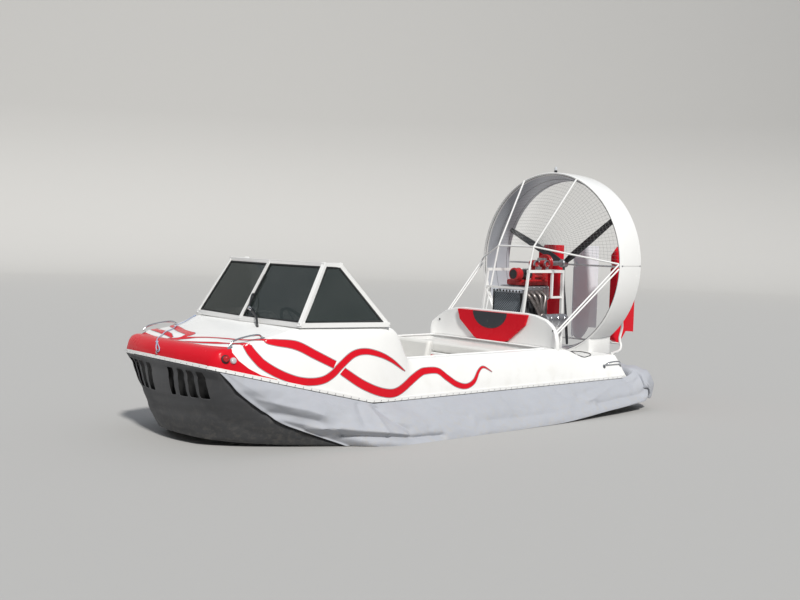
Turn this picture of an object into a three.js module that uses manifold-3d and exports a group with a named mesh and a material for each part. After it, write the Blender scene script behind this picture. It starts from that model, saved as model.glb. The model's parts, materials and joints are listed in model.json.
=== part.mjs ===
// A light four-seat hovercraft: moulded hull with a bag skirt, a framed windshield over the
// front seats, and an engine that drives a ducted propeller ahead of three rudders.
// Millimetres, +Z up, bow towards -Y, port side +X, origin on the ground below the middle.

import * as THREE from 'three';
import { mergeVertices } from 'three/addons/utils/BufferGeometryUtils.js';
import Module from 'manifold-3d';

const wasm = await Module();
wasm.setup();

// Hull, from the rim band that runs round it
const BOW_FACE = -2430;
const TRANSOM_TOP = 1745;
const TRANSOM_FOOT = 1834;
const KNUCKLE = -1136;
const HALF_BEAM = 861;
const BOW_TAPER = 0.163;
const SIDE_RIM = 296;
const RIM_RISE = 0.235;
const BOW_SWEEP = 72;
const SWEEP_END = -1900;
const BOW_CORNER = 70;
const NOSE_LENGTH = 150;
const NOSE_HEIGHT = 150;
const EDGE_INSET = 45;
const EDGE_RISE = 18;
const SIDE_SWELL = 10;
const NOSE_ANGLES = [10, 30, 50, 70, 90];
const NOSE_SHOULDER = { inset: 18, share: 0.8 };
const NOSE_INSET = 50;
const NOSE_CROWN = 8;
const HIGH = 1200;

// Cockpit well
const WELL_FRONT = -1600;
const WELL_BACK = 880;
const WELL_HALF = 725;
const WELL_FRONT_HALF = 560;
const COWL_AFT = -1040;
const FOOTWELL_HALF = 600;
const FLOOR = 130;

// Duct, propeller and rudders
const DUCT_FRONT = 1685;
const DUCT_DEPTH = 319;
const DUCT_HEIGHT = 1300;
const DUCT_OUTER = 866;
const DUCT_BASE_HALF = 540;
const PROP_Y = 1918;
const PROP_RADIUS = 786;
const BLADE_ANGLES = [36, 156, 276];
const RUDDER_PITCH = 457;
const RUDDER_HINGE = 2088;
const RUDDER_TAIL = 2445;
const UPPER_BEAM_Z = 1290;
const LOWER_BEAM_Z = 566;
const BEAM_RADIUS = 14;

// Small allowances
const GAP = 0.3;
const SIDES = [
  { name: 'port', side: 1 },
  { name: 'starboard', side: -1 },
];

// Colours and finishes
const paint = (color, roughness = 0.35, metalness = 0) =>
  new THREE.MeshStandardMaterial({ color, roughness, metalness });
const WHITE = () => paint(0xf2f2ef, 0.3);
const RED = () => paint(0xd81e2c, 0.3);
const WHITE_TUBE = () => paint(0xececea, 0.35, 0.1);
const SKIRT_SHADE = () => paint(0x55585c, 0.75);
const SKIRT_LIGHT = () => paint(0xb4bac4, 0.7);
const STEEL = () => paint(0xb9bcc0, 0.25, 1);
const BLACK = () => paint(0x17181a, 0.5);
const DARK_METAL = () => paint(0x6c6f73, 0.45, 0.9);
const GLASS_TINT = () => paint(0x3c4644, 0.05);
const GREEN_LENS = () => paint(0x2c8a54, 0.2);
const CLEAR_LENS = () => paint(0xdfe3e6, 0.2);
const ROPE = () => paint(0x9fb2cf, 0.85);

// Solids from geometries
const vec = (x, y, z) => new THREE.Vector3(x, y, z);

function solid(geometry) {
  const plain = geometry.index ? geometry.toNonIndexed() : geometry.clone();
  plain.deleteAttribute('normal');
  plain.deleteAttribute('uv');
  const merged = mergeVertices(plain, 1e-3);
  const vertProperties = Float32Array.from(merged.attributes.position.array);
  const triVerts = Uint32Array.from(merged.index.array);
  const made = new wasm.Manifold(new wasm.Mesh({ numProp: 3, vertProperties, triVerts }));
  if (made.volume() > 0) return made;
  for (let i = 0; i < triVerts.length; i += 3) {
    [triVerts[i + 1], triVerts[i + 2]] = [triVerts[i + 2], triVerts[i + 1]];
  }
  return new wasm.Manifold(new wasm.Mesh({ numProp: 3, vertProperties, triVerts }));
}

function geometryOf(manifold) {
  const { vertProperties, triVerts } = manifold.getMesh();
  const geometry = new THREE.BufferGeometry();
  geometry.setAttribute('position', new THREE.BufferAttribute(vertProperties, 3));
  geometry.setIndex(new THREE.BufferAttribute(triVerts, 1));
  const flat = geometry.toNonIndexed();
  flat.computeVertexNormals();
  return flat;
}

const join = (parts) => parts.reduce((sum, part) => sum.add(part));
const mirrored = (part) => part.mirror([1, 0, 0]);

function box(low, high) {
  const size = high.map((value, axis) => value - low[axis]);
  const centre = high.map((value, axis) => (value + low[axis]) / 2);
  return solid(new THREE.BoxGeometry(...size).translate(...centre));
}

// A round rod between two points
function rod(start, end, radius, sides = 10) {
  const along = end.clone().sub(start);
  const turn = new THREE.Quaternion().setFromUnitVectors(vec(0, 1, 0), along.clone().normalize());
  const middle = start.clone().add(end).multiplyScalar(0.5);
  const geometry = new THREE.CylinderGeometry(radius, radius, along.length(), sides);
  return solid(geometry.applyQuaternion(turn).translate(...middle));
}

// A square-section bar between two points, its width level and its depth square to that
function bar(start, end, width, depth, extra = 0) {
  const along = end.clone().sub(start);
  const length = along.length() + 2 * extra;
  along.normalize();
  const level = vec(0, 0, 1).cross(along);
  if (level.length() < 1e-3) level.set(1, 0, 0);
  level.normalize();
  const depthAxis = level.clone().cross(along);
  const frame = new THREE.Matrix4().makeBasis(level, along, depthAxis);
  const middle = start.clone().add(end).multiplyScalar(0.5);
  const geometry = new THREE.BoxGeometry(width, length, depth).applyMatrix4(frame);
  return solid(geometry.translate(...middle));
}

// A bent tube through a few points
function bentTube(points, radius, steps, sides = 8) {
  const ring = new THREE.Shape();
  ring.absarc(0, 0, radius, 0, 2 * Math.PI);
  const section = new THREE.Shape(ring.getSpacedPoints(sides).slice(0, sides));
  const extrudePath = new THREE.CatmullRomCurve3(points, false, 'centripetal');
  return solid(new THREE.ExtrudeGeometry(section, { steps, extrudePath }));
}

// An outline in X and Y raised from one height to another
function prism(outline, low, high) {
  const shape = new THREE.Shape(outline.map(([x, y]) => new THREE.Vector2(x, y)));
  const settings = { depth: high - low, bevelEnabled: false };
  return solid(new THREE.ExtrudeGeometry(shape, settings).translate(0, 0, low));
}

// An outline in X and Z carried from one Y to another
function slabY(outline, from, to) {
  const shape = new THREE.Shape(outline.map(([x, z]) => new THREE.Vector2(x, z)));
  const settings = { depth: to - from, bevelEnabled: false };
  const geometry = new THREE.ExtrudeGeometry(shape, settings).rotateX(Math.PI / 2);
  return solid(geometry.translate(0, to, 0));
}

// An outline in Y and Z carried from one X to another
function slabX(outline, from, to) {
  const shape = new THREE.Shape(outline.map(([y, z]) => new THREE.Vector2(y, z)));
  const settings = { depth: to - from, bevelEnabled: false };
  const geometry = new THREE.ExtrudeGeometry(shape, settings).rotateX(Math.PI / 2);
  return solid(geometry.rotateZ(Math.PI / 2).translate(from, 0, 0));
}

// A closed skin over rings of points, with a fan over each end ring
function loft(rings) {
  const count = rings[0].length;
  const points = rings.flat();
  const index = [];
  for (let r = 0; r + 1 < rings.length; r += 1) {
    for (let i = 0; i < count; i += 1) {
      const a = r * count + i;
      const b = r * count + ((i + 1) % count);
      index.push(a, b, a + count, b, b + count, a + count);
    }
  }
  [0, rings.length - 1].forEach((r, which) => {
    const centre = rings[r].reduce((sum, p) => sum.add(p), vec(0, 0, 0)).divideScalar(count);
    const hub = points.push(centre) - 1;
    for (let i = 0; i < count; i += 1) {
      const a = r * count + i;
      const b = r * count + ((i + 1) % count);
      index.push(...(which ? [a, b, hub] : [b, a, hub]));
    }
  });
  const geometry = new THREE.BufferGeometry().setFromPoints(points);
  geometry.setIndex(index);
  return solid(geometry);
}

// Hull lines
const rimZ = (y) => SIDE_RIM + RIM_RISE * Math.max(0, KNUCKLE - y);
const rimHalf = (y) => HALF_BEAM - BOW_TAPER * Math.max(0, KNUCKLE - y);

function sweptY(x, y) {
  const share = THREE.MathUtils.clamp((SWEEP_END - y) / (SWEEP_END - BOW_FACE), 0, 1);
  return y + BOW_SWEEP * (x / rimHalf(BOW_FACE)) ** 2 * share;
}

// One cross-section of the deck moulding, from the port rim over the deck to the far rim
function deckSection({ y, half, shoulder, shoulderZ, inset, edgeZ, crownZ }) {
  const low = rimZ(y);
  const side = (half + shoulder) / 2 + SIDE_SWELL;
  const edge = shoulder - inset;
  const port = [
    [half, null],
    [side, (low + shoulderZ) / 2],
    [shoulder, shoulderZ],
    [edge, edgeZ],
    [edge / 2, (edgeZ + 3 * crownZ) / 4],
  ];
  const far = port.map(([x, z]) => [-x, z]).reverse();
  const under = [-half / 2, 0, half / 2].map((x) => [x, null]);
  const outline = [...port, [0, crownZ], ...far, ...under];
  return outline.map(([x, z]) => {
    const swept = sweptY(x, y);
    return vec(x, swept, z === null ? rimZ(swept) : z);
  });
}

function deckStations() {
  const stations = [];
  for (const degrees of NOSE_ANGLES) {
    const angle = THREE.MathUtils.degToRad(degrees);
    const reach = NOSE_LENGTH * (1 - Math.cos(angle));
    const y = BOW_FACE + reach;
    const lift = NOSE_HEIGHT * Math.sin(angle);
    const turn = Math.max(0, 1 - reach / BOW_CORNER);
    const half = rimHalf(y) - BOW_CORNER * (1 - Math.sqrt(1 - turn * turn));
    const low = rimZ(y);
    const shoulder = half - NOSE_SHOULDER.inset;
    const shoulderZ = low + lift * NOSE_SHOULDER.share;
    const edgeZ = low + lift;
    const crownZ = edgeZ + NOSE_CROWN;
    stations.push({ y, half, shoulder, shoulderZ, inset: NOSE_INSET, edgeZ, crownZ });
  }
  // Along the craft: station, shoulder half width and height, height of the middle of the deck
  const table = [
    [-2225, 648, 722, 752],
    [-2080, 650, 735, 775],
    [-1900, 668, 768, 812],
    [-1740, 700, 815, 848],
    [-1678, 716, 826, 852],
    [-1360, 790, 826, 852],
    [-1136, 845, 830, 855],
    [-1040, 862, 834, 855],
    [-963, 862, 815, 835],
    [-902, 856, 760, 780],
    [-860, 848, 690, 710],
    [-812, 836, 616, 640],
    [-770, 822, 580, 602],
    [-700, 815, 570, 592],
    [900, 815, 570, 592],
    [1040, 812, 562, 584],
    [1321, 808, 484, 506],
    [TRANSOM_TOP, 805, 480, 500],
    [TRANSOM_FOOT, 855, 310, 332],
  ];
  for (const [y, shoulder, shoulderZ, crownZ] of table) {
    const edgeZ = shoulderZ + EDGE_RISE;
    stations.push({ y, half: rimHalf(y), shoulder, shoulderZ, inset: EDGE_INSET, edgeZ, crownZ });
  }
  return stations;
}

const wellPlan = [
  [WELL_FRONT_HALF, WELL_FRONT],
  [WELL_HALF, COWL_AFT],
  [WELL_HALF, WELL_BACK],
  [-WELL_HALF, WELL_BACK],
  [-WELL_HALF, COWL_AFT],
  [-WELL_FRONT_HALF, WELL_FRONT],
];

const stations = deckStations();
const deck = loft(stations.map(deckSection)).subtract(prism(wellPlan, 0, HIGH));

// The planing pan under the rim, with the footwell, and the three ground runners below it
const PAN_INSET = 75;
const PAN_EDGE = { inset: 20, drop: 60 };
const FOOTWELL_NOSE = 120;
const FOOTWELL_AHEAD = 60;
const FOOTWELL_BACK = WELL_BACK - 40;
const RUNNERS = { port: 440, centre: 0, starboard: -440 };
const RUNNER_HALF = 40;
const RUNNER_PROFILE = [[-1380, FLOOR - 5], [-1180, 0], [1380, 0], [1500, FLOOR - 5]];

function hullPan() {
  // Along the craft: station, half width and height of the pan's flat underside
  const table = [
    [-2300, 500, 450],
    [-2000, 540, 290],
    [-1500, 590, 120],
    [KNUCKLE, 610, 75],
    [1400, 610, 75],
    [1800, 590, 120],
  ];
  const rings = table.map(([y, half, low]) => {
    const top = rimZ(y) - GAP;
    const wide = rimHalf(y) - PAN_INSET;
    const port = [
      [wide, top],
      [wide - PAN_EDGE.inset, top - PAN_EDGE.drop],
      [half, low],
    ];
    const far = port.map(([x, z]) => [-x, z]).reverse();
    return [...port, ...far].map(([x, z]) => vec(x, y, z));
  });
  const footwell = [
    [FOOTWELL_HALF - FOOTWELL_NOSE, WELL_FRONT + FOOTWELL_AHEAD],
    [FOOTWELL_HALF, COWL_AFT],
    [FOOTWELL_HALF, FOOTWELL_BACK],
    [-FOOTWELL_HALF, FOOTWELL_BACK],
    [-FOOTWELL_HALF, COWL_AFT],
    [-FOOTWELL_HALF + FOOTWELL_NOSE, WELL_FRONT + FOOTWELL_AHEAD],
  ];
  return loft(rings).subtract(prism(footwell, FLOOR, HIGH));
}

// A straight ground runner whose top follows the pan's underside
function runner(x, pan) {
  return slabX(RUNNER_PROFILE, x - RUNNER_HALF, x + RUNNER_HALF).subtract(pan.translate([0, 0, -GAP]));
}

// A riveted band that clamps the skirt to the rim, over a run of rim points
const BAND = { foot: -2, top: 26, crown: 12, edge: 12, reach: 15 };

function rimBand(points) {
  const rings = points.map((point, i) => {
    const before = points[Math.max(0, i - 1)];
    const after = points[Math.min(points.length - 1, i + 1)];
    const along = after.clone().sub(before).setZ(0).normalize();
    const out = vec(along.y, -along.x, 0);
    const corner = (reach, lift) => point.clone().addScaledVector(out, reach).add(vec(0, 0, lift));
    return [
      corner(GAP, BAND.foot),
      corner(BAND.edge, BAND.foot),
      corner(BAND.reach, BAND.crown),
      corner(BAND.edge, BAND.top),
      corner(GAP, BAND.top),
    ];
  });
  return loft(rings);
}

// Rim points of a deck station, at a share of its half width
function rimOf({ y, half }, share = 1) {
  const swept = sweptY(half * share, y);
  return vec(half * share, swept, rimZ(swept));
}

const BOW_STATIONS = 5;
const bowHalf = [rimOf(stations[0], 0), rimOf(stations[0], 0.5)];
stations.slice(0, BOW_STATIONS).forEach((station) => bowHalf.push(rimOf(station)));
const bowRun = [...bowHalf.slice(1).map((p) => vec(-p.x, p.y, p.z)).reverse(), ...bowHalf];
const sideRun = stations.slice(BOW_STATIONS - 1).map((station) => rimOf(station));
sideRun.push(vec(HALF_BEAM, TRANSOM_FOOT + 13, SIDE_RIM));
const sternRun = [1, -1].map((side) => vec(side * (HALF_BEAM + BAND.edge), TRANSOM_FOOT + 1, SIDE_RIM));

// The bag's swell: share of the way down, and how far the air pushes it out there
const BELLY = [[0.25, 22], [0.5, 32], [0.78, 26], [0.93, 12]];
const BAG_FOOT_DEPTH = 130;
const BAG_TOP_DEPTH = 66;
const BAG_TOP_DROP = 12;
const CLAMP_DROP = 9;

// One cross-section of the skirt bag, from the rim down to the ground line and back inboard
function skirtSection(top, foot, [bulgeX, bulgeY]) {
  const outward = vec(bulgeX, bulgeY, 0);
  const belly = BELLY.map(([share, push]) => top.clone().lerp(foot, share).addScaledVector(outward, push));
  const under = foot.clone().addScaledVector(outward, -BAG_FOOT_DEPTH);
  const inner = top.clone().addScaledVector(outward, -BAG_TOP_DEPTH).add(vec(0, 0, -BAG_TOP_DROP));
  return [top.clone(), ...belly, foot.clone(), under, inner];
}

// Skirt stations: rim point, ground point, lift of the lower edge, direction of the bulge
const SKIRT = [
  { rim: [0, -2436], foot: [0, -2315], lift: 70, bulge: [0, -1] },
  { rim: [330, -2418], foot: [270, -2262], lift: 60, bulge: [0.1, -0.99] },
  { rim: [560, -2382], foot: [440, -2110], lift: 40, bulge: [0.3, -0.95] },
  { rim: [648, -2340], foot: [650, -1800], lift: 20, bulge: [0.6, -0.8] },
  { rim: [668, -2285], foot: [870, -1395], lift: 6, bulge: [0.9, -0.44] },
  { rim: [758, -1800], foot: [1010, -1190], lift: 0, bulge: [0.97, -0.24] },
  { rim: [864, KNUCKLE], foot: [1075, -960], lift: 0, bulge: [1, 0] },
  { rim: [864, -300], foot: [1080, -250], lift: 0, bulge: [1, 0] },
  { rim: [864, 600], foot: [1080, 620], lift: 4, bulge: [1, 0] },
  { rim: [864, 1300], foot: [1070, 1400], lift: 60, bulge: [1, 0] },
  { rim: [864, 1780], foot: [1030, 1900], lift: 90, bulge: [0.97, 0.24] },
];
const BOW_END = 4;

function skirtRing({ rim, foot, lift, bulge }, side, shift) {
  const top = vec(rim[0] * side, rim[1] + shift, rimZ(rim[1]) - CLAMP_DROP);
  const low = vec(foot[0] * side, foot[1] + shift, lift);
  return skirtSection(top, low, [bulge[0] * side, bulge[1]]);
}

function bowSkirt() {
  const port = SKIRT.slice(0, BOW_END + 1).map((row) => skirtRing(row, 1, 0));
  const far = SKIRT.slice(1, BOW_END + 1).map((row) => skirtRing(row, -1, 0)).reverse();
  const bag = loft([...far, ...port]);
  const behind = bag.translate([0, SLOT_DEPTH, 0]);
  return bag.subtract(join(SLOTS.flatMap(slotCutters)).subtract(behind));
}

// Slots in the bow panel: top edge x from and to, bottom edge x from and to
const SLOTS = [
  [125, 198, 164, 220],
  [248, 322, 256, 340],
  [355, 424, 356, 430],
  [460, 533, 441, 521],
];
const SLOT_TOP = 553;
const SLOT_FOOT = 362;
const SLOT_DEPTH = 40;
const SLOT_REACH = [-2600, -2150];

function slotCutters([topFrom, topTo, footFrom, footTo]) {
  const outline = [[topFrom, SLOT_TOP], [footFrom, SLOT_FOOT], [footTo, SLOT_FOOT], [topTo, SLOT_TOP]];
  const cutter = slabY(outline, ...SLOT_REACH);
  return [cutter, mirrored(cutter)];
}

const portSkirt = loft(SKIRT.slice(BOW_END).map((row, i) => skirtRing(row, 1, i ? 0 : 2)));

// The stern bag: closed ends at each corner, its crown level behind the transom
const BAG_FRONT = TRANSOM_FOOT + 16 + GAP;
const BAG_CORNER = 900;
const BAG_CORNER_FRONT = 1915;
const BAG_CURL = 30;
const BAG_SAG = 6;

function sternSkirt() {
  // Across the craft: half width, how far aft it reaches, height of its crown and lower edge
  const table = [
    [1010, 2010, 260, 110],
    [960, 2130, 330, 96],
    [860, 2190, 380, 90],
    [500, 2215, 392, 40],
    [0, 2220, 392, 20],
  ];
  const ring = ([x, aft, crown, low], side) => {
    const start = x > BAG_CORNER ? BAG_CORNER_FRONT : BAG_FRONT;
    const outline = [
      [start, low + BAG_CURL],
      [start, crown - 2 * BAG_CURL],
      [start + BAG_CURL, crown],
      [aft - 4 * BAG_CURL, crown - BAG_SAG],
      [aft - BAG_CURL / 2, (crown * 2 + low) / 3],
      [aft, (crown + low) / 2],
      [aft - BAG_CURL, low + BAG_CURL],
      [aft - 3 * BAG_CURL, low],
    ];
    return outline.map(([y, z]) => vec(x * side, y, z));
  };
  const far = table.map((row) => ring(row, -1));
  const port = table.slice(0, -1).map((row) => ring(row, 1)).reverse();
  return loft([...far, ...port]);
}

// Windshield: corner points of the frame, port side
const FRAME_BAR = 34;
const SHIELD = {
  sillCentre: vec(0, -1738, 866),
  sillFront: vec(700, -1688, 866),
  sillAft: vec(868, -1030, 866),
  headCentre: vec(0, -1484, 1291),
  headFront: vec(626, -1436, 1291),
  headAft: vec(626, -1296, 1291),
};
const far = (point) => vec(-point.x, point.y, point.z);

const CORNER_LAP = 14;
const CENTRE_LAP = 10;
const CENTRE_SLIM = 8;

function shieldFrame(width) {
  const { sillCentre, sillFront, sillAft, headCentre, headFront, headAft } = SHIELD;
  const runs = [
    [sillCentre, sillFront],
    [sillFront, sillAft],
    [sillFront, headFront],
    [headCentre, headFront],
    [headFront, headAft],
    [headAft, sillAft],
  ];
  const port = join(runs.map(([start, end]) => bar(start, end, width, width, CORNER_LAP)));
  const centre = bar(sillCentre, headCentre, width - CENTRE_SLIM, width, CENTRE_LAP);
  return join([port, mirrored(port), centre]);
}

// A pane between bar centre lines, so that the bars themselves trim its edges
function pane(corners, thickness) {
  const [a, b, c] = corners;
  const normal = b.clone().sub(a).cross(c.clone().sub(a)).normalize().multiplyScalar(thickness / 2);
  return loft([corners.map((p) => p.clone().sub(normal)), corners.map((p) => p.clone().add(normal))]);
}

// A piece cut to lie round the deck moulding, or to stand on it, with a hair of room
const aroundDeck = (piece) => piece.subtract(deck.scale([1.0004, 1.00015, 1])).subtract(deck);
const lowered = (piece, base) => piece.subtract(base.translate([0, 0, GAP])).subtract(base);
const shieldBars = lowered(shieldFrame(FRAME_BAR), deck);
const shieldRoom = shieldFrame(FRAME_BAR + 2 * GAP);
const GLASS = 6;
const paneOf = (...names) => pane(names.map((name) => SHIELD[name]), GLASS).subtract(shieldRoom);
const frontPane = paneOf('sillCentre', 'sillFront', 'headFront', 'headCentre');
const sidePane = paneOf('sillFront', 'sillAft', 'headAft', 'headFront');

const onDeck = (piece) => lowered(piece, deck);

// Cockpit furniture
const DASH = { half: 530, foot: 640, top: 836, ledge: -1520, edge: -1400, edgeTop: 770 };
const WHEEL = vec(90, -1290, 800);
const WHEEL_RADIUS = 165;
const WHEEL_GRIP = 13;
const WHEEL_TILT = -0.6;
const SPOKES = [90, 210, 330];
const SPOKE_RADIUS = 11;
const HUB = { radius: 32, below: 60, above: 18 };
const COLUMN = { radius: 24, foot: 190 };
const columnAxis = vec(0, Math.cos(WHEEL_TILT), -Math.sin(WHEEL_TILT));
const alongColumn = (from, distance) => from.clone().addScaledVector(columnAxis, distance);

function steeringWheel() {
  const ring = new THREE.TorusGeometry(WHEEL_RADIUS, WHEEL_GRIP, 8, 28);
  const rim = solid(ring.rotateX(Math.PI / 2 - WHEEL_TILT));
  const spokes = SPOKES.map((degrees) => {
    const angle = THREE.MathUtils.degToRad(degrees);
    const tip = vec(Math.cos(angle), 0, Math.sin(angle)).multiplyScalar(WHEEL_RADIUS);
    return rod(vec(0, 0, 0), tip.applyAxisAngle(vec(1, 0, 0), -WHEEL_TILT), SPOKE_RADIUS, 6);
  });
  const centre = vec(0, 0, 0);
  const hub = rod(alongColumn(centre, -HUB.below), alongColumn(centre, HUB.above), HUB.radius, 14);
  return join([rim, hub, ...spokes]);
}

function dashWithColumn() {
  const front = WELL_FRONT + GAP;
  const profile = [
    [front, DASH.foot],
    [front, DASH.top],
    [DASH.ledge, DASH.top],
    [DASH.edge, DASH.edgeTop],
    [DASH.edge, DASH.foot],
  ];
  const start = alongColumn(WHEEL, -HUB.below - GAP);
  const column = rod(alongColumn(WHEEL, -COLUMN.foot), start, COLUMN.radius, 12);
  return slabX(profile, -DASH.half, DASH.half).add(column);
}

// Seats and cushions: half width, forward and aft face, foot and top
const FRONT_SEAT_TOP = 380;
const REAR_SEAT_TOP = 478;
const SEATS = {
  frontBase: { half: 590, front: -860, aft: -330, foot: FLOOR + GAP, top: FRONT_SEAT_TOP },
  frontCushion: { half: 575, front: -850, aft: -420, foot: FRONT_SEAT_TOP + GAP, top: 455 },
  rearBase: { half: 594, front: 470, aft: FOOTWELL_BACK - GAP, foot: FLOOR + GAP, top: REAR_SEAT_TOP },
  rearCushion: { half: 590, front: 480, aft: 840, foot: REAR_SEAT_TOP + GAP, top: 566 },
};
const seat = ({ half, front, aft, foot, top }) => box([-half, front, foot], [half, aft, top]);

// The front seat's back, leaning aft: forward and aft face at its foot and at its head
const FRONT_BACK = { half: 575, foot: [-418, -345], head: [-345, -285], top: 690 };

function frontSeatBack() {
  const { half, foot, head, top } = FRONT_BACK;
  const low = FRONT_SEAT_TOP + GAP;
  return slabX([[foot[0], low], [head[0], top], [head[1], top], [foot[1], low]], -half, half);
}

// The rear shell, port half: its plan, from the outer front corner round to the inner one
const SHELL_OUTER = [[814, 926], [814, 968], [690, 1010]];
const SHELL_INNER = [[640, 966], [740, 952], [786, 926]];
const SHELL_SIDE = [[814, 545], [810, 640], [784, 712], [724, 772], [635, 824], [520, 855], [400, 868]];
const SHELL_RANGE = [545, 900];
const SHELL_REACH = [800, 1100];
const otherSide = (points) => points.map(([x, other]) => [-x, other]).reverse();

function rearSeatShell() {
  const plan = [...SHELL_OUTER, ...otherSide(SHELL_OUTER), ...otherSide(SHELL_INNER), ...SHELL_INNER];
  const front = [...SHELL_SIDE, ...otherSide(SHELL_SIDE)];
  return prism(plan, ...SHELL_RANGE).intersect(slabY(front, ...SHELL_REACH));
}

const PAD_OUTLINE = [
  [-445, 852],
  [445, 852],
  [412, 756],
  [215, 606],
  [110, 568],
  [-110, 568],
  [-215, 606],
  [-412, 756],
];
const PAD_FRONT = 940;
const PAD_BACK = 966;
const backrestPad = onDeck(slabY(PAD_OUTLINE, PAD_FRONT, PAD_BACK - GAP));

// Engine bay: open frame, engine, cooling, exhaust and intake
const FRAME_HALF = 258;
const FRAME_TOP = 1232;
const FRAME_FRONT = 1145;
const FRAME_AFT = 1611;
const FRAME_TUBE = 26;

const POST_TUBE = 20;
const POST_FOOT = 490;
const BRACE_FOOT = [1038, 520];
const MID_POST = { head: 1467, foot: 1463, level: 992, lap: 10 };
const CROSS_BAR = [1127, 1073];

function engineFrame() {
  const at = (y, z) => vec(FRAME_HALF, y, z);
  const frontTop = at(FRAME_FRONT, FRAME_TOP);
  const aftTop = at(FRAME_AFT, FRAME_TOP);
  const midFoot = at(MID_POST.foot, MID_POST.level);
  const port = join([
    bar(frontTop, aftTop, FRAME_TUBE, FRAME_TUBE, FRAME_TUBE / 2),
    bar(aftTop, at(FRAME_AFT, POST_FOOT), FRAME_TUBE, FRAME_TUBE),
    bar(frontTop, at(...BRACE_FOOT), POST_TUBE, POST_TUBE),
    bar(at(MID_POST.head, FRAME_TOP), midFoot, POST_TUBE, POST_TUBE),
    bar(midFoot, at(FRAME_AFT, MID_POST.level), POST_TUBE, POST_TUBE, MID_POST.lap),
  ]);
  const across = (y, z, tube) => bar(vec(-FRAME_HALF, y, z), vec(FRAME_HALF, y, z), tube, tube);
  const bars = [across(...CROSS_BAR, POST_TUBE), across(FRAME_AFT, FRAME_TOP, FRAME_TUBE)];
  return onDeck(join([port, mirrored(port), ...bars]));
}

const ENGINE = { half: 150, front: 1192, aft: 1560, foot: 480, top: 1095 };
const COVER = { from: [-70, 1200], to: [140, 1550], top: 1150 };
const engineLow = [-ENGINE.half, ENGINE.front, ENGINE.foot];
const engineBlock = onDeck(box(engineLow, [ENGINE.half, ENGINE.aft, ENGINE.top]));
const engineCover = box([...COVER.from, ENGINE.top + GAP], [...COVER.to, COVER.top]);

// Four pipes that gather into one elbow, and the muffler outboard of the frame
const MUFFLER = vec(342, 1420, 785);
const MUFFLER_HALF = 145;
const MUFFLER_RADIUS = 60;
const PORTS = { y: [1235, 1305, 1375, 1445], z: 1030 };
const PIPE_RADIUS = 19;
const COLLECTOR = { x: 200, y: 1400, top: 840, drop: 18, radius: 36 };
const ELBOW = { reach: 40, radius: 24 };

function mufflerCan(extra = 0) {
  const half = vec(0, MUFFLER_HALF + extra, 0);
  return rod(MUFFLER.clone().sub(half), MUFFLER.clone().add(half), MUFFLER_RADIUS + extra, 16);
}

function exhaustHeaders() {
  const { x, y: gather, top, drop, radius } = COLLECTOR;
  const pipes = PORTS.y.map((y) => {
    const points = [
      vec(ENGINE.half, y, PORTS.z),
      vec(196, y + 4, 990),
      vec(206, (y + gather) / 2, 900),
      vec(x, gather, 812),
    ];
    return bentTube(points, PIPE_RADIUS, 7);
  });
  const collector = rod(vec(x, gather, top), vec(x, gather, MUFFLER.z - drop), radius, 12);
  const outlet = vec(MUFFLER.x - ELBOW.reach, gather, MUFFLER.z);
  const elbow = rod(vec(x, gather, MUFFLER.z), outlet, ELBOW.radius, 10);
  const blockRoom = box([0, ENGINE.front, 0], [ENGINE.half + GAP, ENGINE.aft, HIGH]);
  return join([...pipes, collector, elbow]).subtract(blockRoom).subtract(mufflerCan(GAP));
}

// Intake, forward and above the engine
const INTAKE = { x: 90, z: 1200, front: 1120, joint: 1196, aft: 1330 };
const alongIntake = (y) => vec(INTAKE.x, y, INTAKE.z);
const airFilter = rod(alongIntake(INTAKE.front), alongIntake(INTAKE.joint), 60, 16);
const intakePipe = join([
  rod(alongIntake(INTAKE.joint + GAP), alongIntake(INTAKE.aft), 46, 14),
  rod(alongIntake(1300), vec(INTAKE.x, 1300, COVER.top + GAP), 26, 12),
]);

// Two air horns that face the port side, each on its stem, with a pipe between the stems
const HORN_Z = 1298;
const HORN_RADIUS = 35;
const HORN_LENGTH = 86;
const HORN_STEM = { inset: 50, radius: 20, link: 1180, linkRadius: 15 };
const HORN_MOUTHS = [[140, 1388], [186, 1480]];

function intakeHorns() {
  const { inset, radius, link, linkRadius } = HORN_STEM;
  const horns = HORN_MOUTHS.map(([x, y]) => {
    return rod(vec(x - HORN_LENGTH, y, HORN_Z), vec(x, y, HORN_Z), HORN_RADIUS, 16);
  });
  const stems = HORN_MOUTHS.map(([x, y]) => {
    return rod(vec(x - inset, y, COVER.top + GAP), vec(x - inset, y, HORN_Z), radius, 12);
  });
  const [from, to] = HORN_MOUTHS.map(([x, y]) => vec(x - inset, y, link));
  return join([...horns, ...stems, rod(from, to, linkRadius, 10)]);
}

const radiatorCore = box([-205, 1166, 560], [155, 1189.7, 1028]);
const radiatorTank = box([-205, 1158, 1026], [160, ENGINE.front - GAP, 1056]);
const radiator = onDeck(radiatorCore.add(radiatorTank));

// Belt guard behind the engine, and the shaft's bearing on the frame's aft bar
const GUARD_PLATE = [[-70, 860], [110, 860], [110, 1000], [95, 1212], [-95, 1212], [-70, 1000]];
const beltGuard = slabY(GUARD_PLATE, ENGINE.aft + GAP, ENGINE.aft + 30);
const BEARING = { front: 1592, aft: 1626, foot: 70, head: 45, top: 1350, bore: 22.8 };

function shaftBearing() {
  const { front, aft, foot, head, top, bore } = BEARING;
  const low = FRAME_TOP + FRAME_TUBE / 2 + GAP;
  const block = slabY([[-foot, low], [foot, low], [head, top], [-head, top]], front, aft);
  const through = rod(vec(0, front - foot, DUCT_HEIGHT), vec(0, aft + foot, DUCT_HEIGHT), bore, 24);
  return block.subtract(through);
}

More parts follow.
